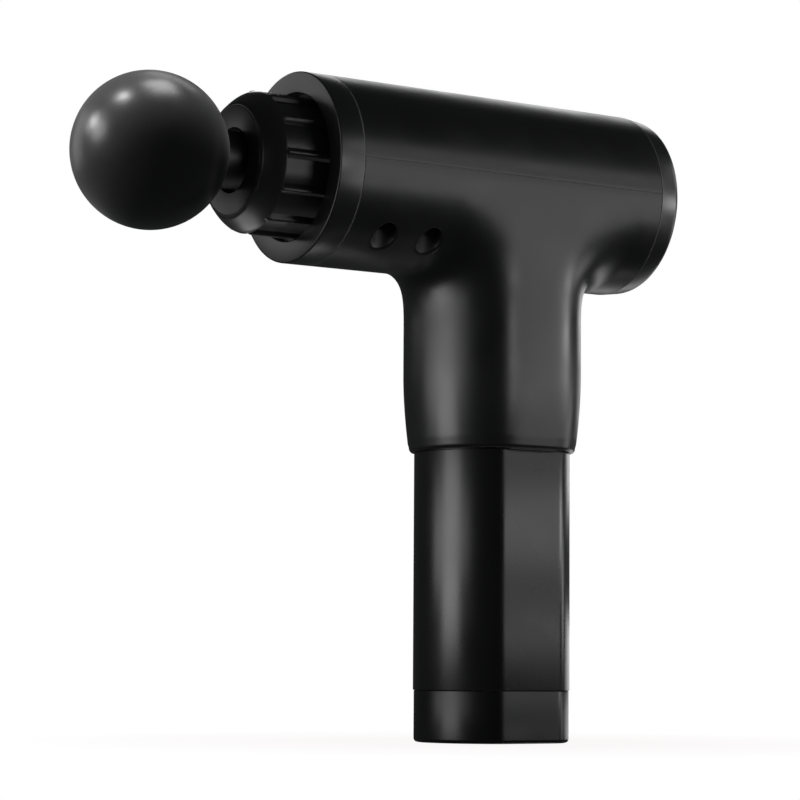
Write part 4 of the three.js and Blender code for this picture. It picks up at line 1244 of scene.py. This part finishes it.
def cap_openings(cap):
    """The foot's screw posts, counterbores, switch opening and hole for the charging socket."""
    add_to(cap, *[rod(4, 1, 16, 0, y) for y in CAP_SCREW_YS])
    x = SWITCH_X
    tools = [block((x - 5.3, x + 5.3), (-7.3, 7.3), (-1, 3.4), 0.8), rod(4.6, -1, 3.4, JACK_X)]
    cut_from(cap, *tools, *[rod(3.3, -1, 2.2, 0, y) for y in CAP_SCREW_YS])
    cut_from(cap, *[rod(1.7, -1, 20, 0, y, count=24) for y in CAP_SCREW_YS])


# ---- Pieces kept from the CAD model --------------------------------------------------------------

def kept_nodes():
    for name in ("plate_damper_front", "plate_damper_rear"):
        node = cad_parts[name]
        node.data.materials.clear()
        node.data.materials.append(RUBBER)
        ease = node.modifiers.new("ease", "BEVEL")
        ease.width, ease.segments = 0.4 * MM, 3


# ---- Light, floor and background -----------------------------------------------------------------

def add_world():
    """White where the camera sees it, and nearly dark to the object, which only softboxes light."""
    world = bpy.data.worlds.new("studio")
    bpy.context.scene.world = world
    world.use_nodes = True
    tree = world.node_tree
    tree.nodes.clear()
    output = tree.nodes.new("ShaderNodeOutputWorld")
    seen = tree.nodes.new("ShaderNodeBackground")
    seen.inputs["Color"].default_value = (1, 1, 1, 1)
    round_about = tree.nodes.new("ShaderNodeBackground")
    round_about.inputs["Color"].default_value = (0.95, 0.98, 1, 1)
    round_about.inputs["Strength"].default_value = 0.04
    path = tree.nodes.new("ShaderNodeLightPath")
    mix = tree.nodes.new("ShaderNodeMixShader")
    tree.links.new(path.outputs["Is Camera Ray"], mix.inputs["Fac"])
    tree.links.new(round_about.outputs[0], mix.inputs[1])
    tree.links.new(seen.outputs[0], mix.inputs[2])
    tree.links.new(mix.outputs[0], output.inputs["Surface"])


BARREL_MIDDLE = (0, 0, 184)
BALL_MIDDLE = (-131, 0, 184)


def softbox(name, azimuth, elevation, size, radiance, distance=900, target=(-10, 0, 120),
            shadow=True):
    """A rectangular light facing the target from an azimuth, measured from +X towards +Y, and an
    elevation. Its radiance is what a mirror would show."""
    data = bpy.data.lights.new(name, "AREA")
    data.shape = "RECTANGLE"
    data.size, data.size_y = (s * MM for s in size)
    data.energy = radiance * math.pi * data.size * data.size_y
    data.use_shadow = shadow
    light = bpy.data.objects.new(name, data)
    bpy.context.scene.collection.objects.link(light)
    turn, lift = math.radians(azimuth), math.radians(elevation)
    away = Vector((math.cos(lift) * math.cos(turn), math.cos(lift) * math.sin(turn),
                   math.sin(lift)))
    light.location = (Vector(target) + away * distance) * MM
    light.rotation_mode = "QUATERNION"
    light.rotation_quaternion = away.to_track_quat("Z", "Y")
    light.visible_camera = False
    return light


def kept_to(lights, pieces, name):
    """Makes the lights fall on some pieces only."""
    receivers = bpy.data.collections.new(name)
    for piece in pieces:
        receivers.objects.link(piece)
    for light in lights:
        light.light_linking.receiver_collection = receivers


def add_lights():
    """Softboxes for the gun, and a few for its ball alone, which is lit more from above."""
    gun_lights = [
        softbox("side_middle", -54, 6, (520, 280), 1.25),
        softbox("handle_side", -56, 4, (140, 80), 1.0, 300, (0, -28, 106)),
        softbox("side_rear", -30, 6, (250, 130), 9.5),
        softbox("side_low", -54, -12, (520, 130), 2.1),
        softbox("side_high", -54, 24, (520, 130), 1.8),
        softbox("right_high", -12, 25, (260, 240), 2.5),
        softbox("right_low", -12, -5, (260, 240), 2.4),
        softbox("left_main", 173, 3, (440, 600), 4.6),
        softbox("left_wing", 195, 6, (240, 250), 1.7),
        softbox("left_rear", 150, 4, (240, 260), 2.6),
        softbox("back_top", 52, 30, (500, 280), 1.8, target=BARREL_MIDDLE),
        softbox("low_strip", 35, -56, (520, 90), 2.6, target=(-20, 0, 160), shadow=False),
        softbox("low_rear", 33, -24, (260, 70), 1.6, 400, (0, 0, 170), shadow=False),
        softbox("rear_fill", 30, 12, (300, 300), 1.8),
    ]
    round_lights = [
        softbox("side_front", -80, 5, (260, 140), 7.5),
        softbox("back_left", 123, 22, (400, 400), 0.9),
    ]
    nose_lights = [
        softbox("nose_face", 123, 8, (300, 200), 1.0),
        softbox("nose_top", 60, 20, (300, 420), 3.5, target=BARREL_MIDDLE),
        softbox("nose_low", 105, -52, (400, 260), 2.2, 500, (-90, 0, 184)),
    ]
    ball_lights = [
        softbox("ball_key", 165, 62, (170, 110), 28, 700, BALL_MIDDLE),
        softbox("ball_kick", 146, 27, (90, 120), 38, 700, BALL_MIDDLE),
        softbox("ball_side", 165, 20, (240, 250), 8),
        softbox("ball_roof", 0, 88, (400, 400), 8, target=BARREL_MIDDLE),
        softbox("ball_back", 52, 54, (500, 190), 1.6, target=BARREL_MIDDLE),
        softbox("ball_rim", 123, 16, (400, 500), 0.9),
    ]
    ball, nose, pack, cap = (bpy.data.objects[name] for name in
                             ("foam_ball", "nose_shell", "pack_shell", "foot_cap"))
    others = [piece for piece in bpy.data.objects if piece.type == "MESH" and piece != ball]
    kept_to(gun_lights, others, "lit_gun")
    kept_to(round_lights, [p for p in others if p not in (nose, pack, cap)], "lit_round")
    kept_to(nose_lights, [nose], "lit_nose")
    kept_to(ball_lights, [ball], "lit_ball")


def add_floor():
    """A pale floor with a faint warm shade painted round the foot, where the gun stands. It only
    tints what is behind it, so it hides nothing when a part is moved below it or the gun is seen
    from beneath."""
    size = 6000
    points = [(-size, -size, 0), (size, -size, 0), (size, size, 0), (-size, size, 0)]
    floor = make("floor", points, [(0, 1, 2, 3)])
    nodes = Nodes("floor_paint")
    away = nodes.add("ShaderNodeVectorMath", operation="LENGTH")
    nodes.link(nodes.place, away.inputs[0])
    # Darker and warmer near the middle: painted shade round the foot.
    far = nodes.ranged(away.outputs["Value"], 0, 1, source=(0.05, 0.16))
    film = nodes.add("ShaderNodeBsdfTransparent")
    nodes.link(nodes.mixed(far, (0.96, 0.93, 0.935), (1, 1, 1)), film.inputs["Color"])
    output = next(node for node in nodes.tree.nodes if node.type == "OUTPUT_MATERIAL")
    nodes.link(film.outputs[0], output.inputs["Surface"])
    floor.data.materials.append(nodes.material)
    floor.visible_shadow = False
    floor.visible_glossy = False
    floor.visible_diffuse = False


# ---- Everything ----------------------------------------------------------------------------------

upper_casing()
lower_casing()
rings_of_barrel()
nose_collar()
ball_head()
head_stem()
battery_pack()
bottom_cap()
casing_screws()
nose_inside()
rear_end()
electronics()
motor()
crank()
piston()
pack_inside()
handle_inside()
foot_fittings()
kept_nodes()
add_world()
add_lights()
add_floor()
bpy.context.scene.view_settings.view_transform = "Standard"
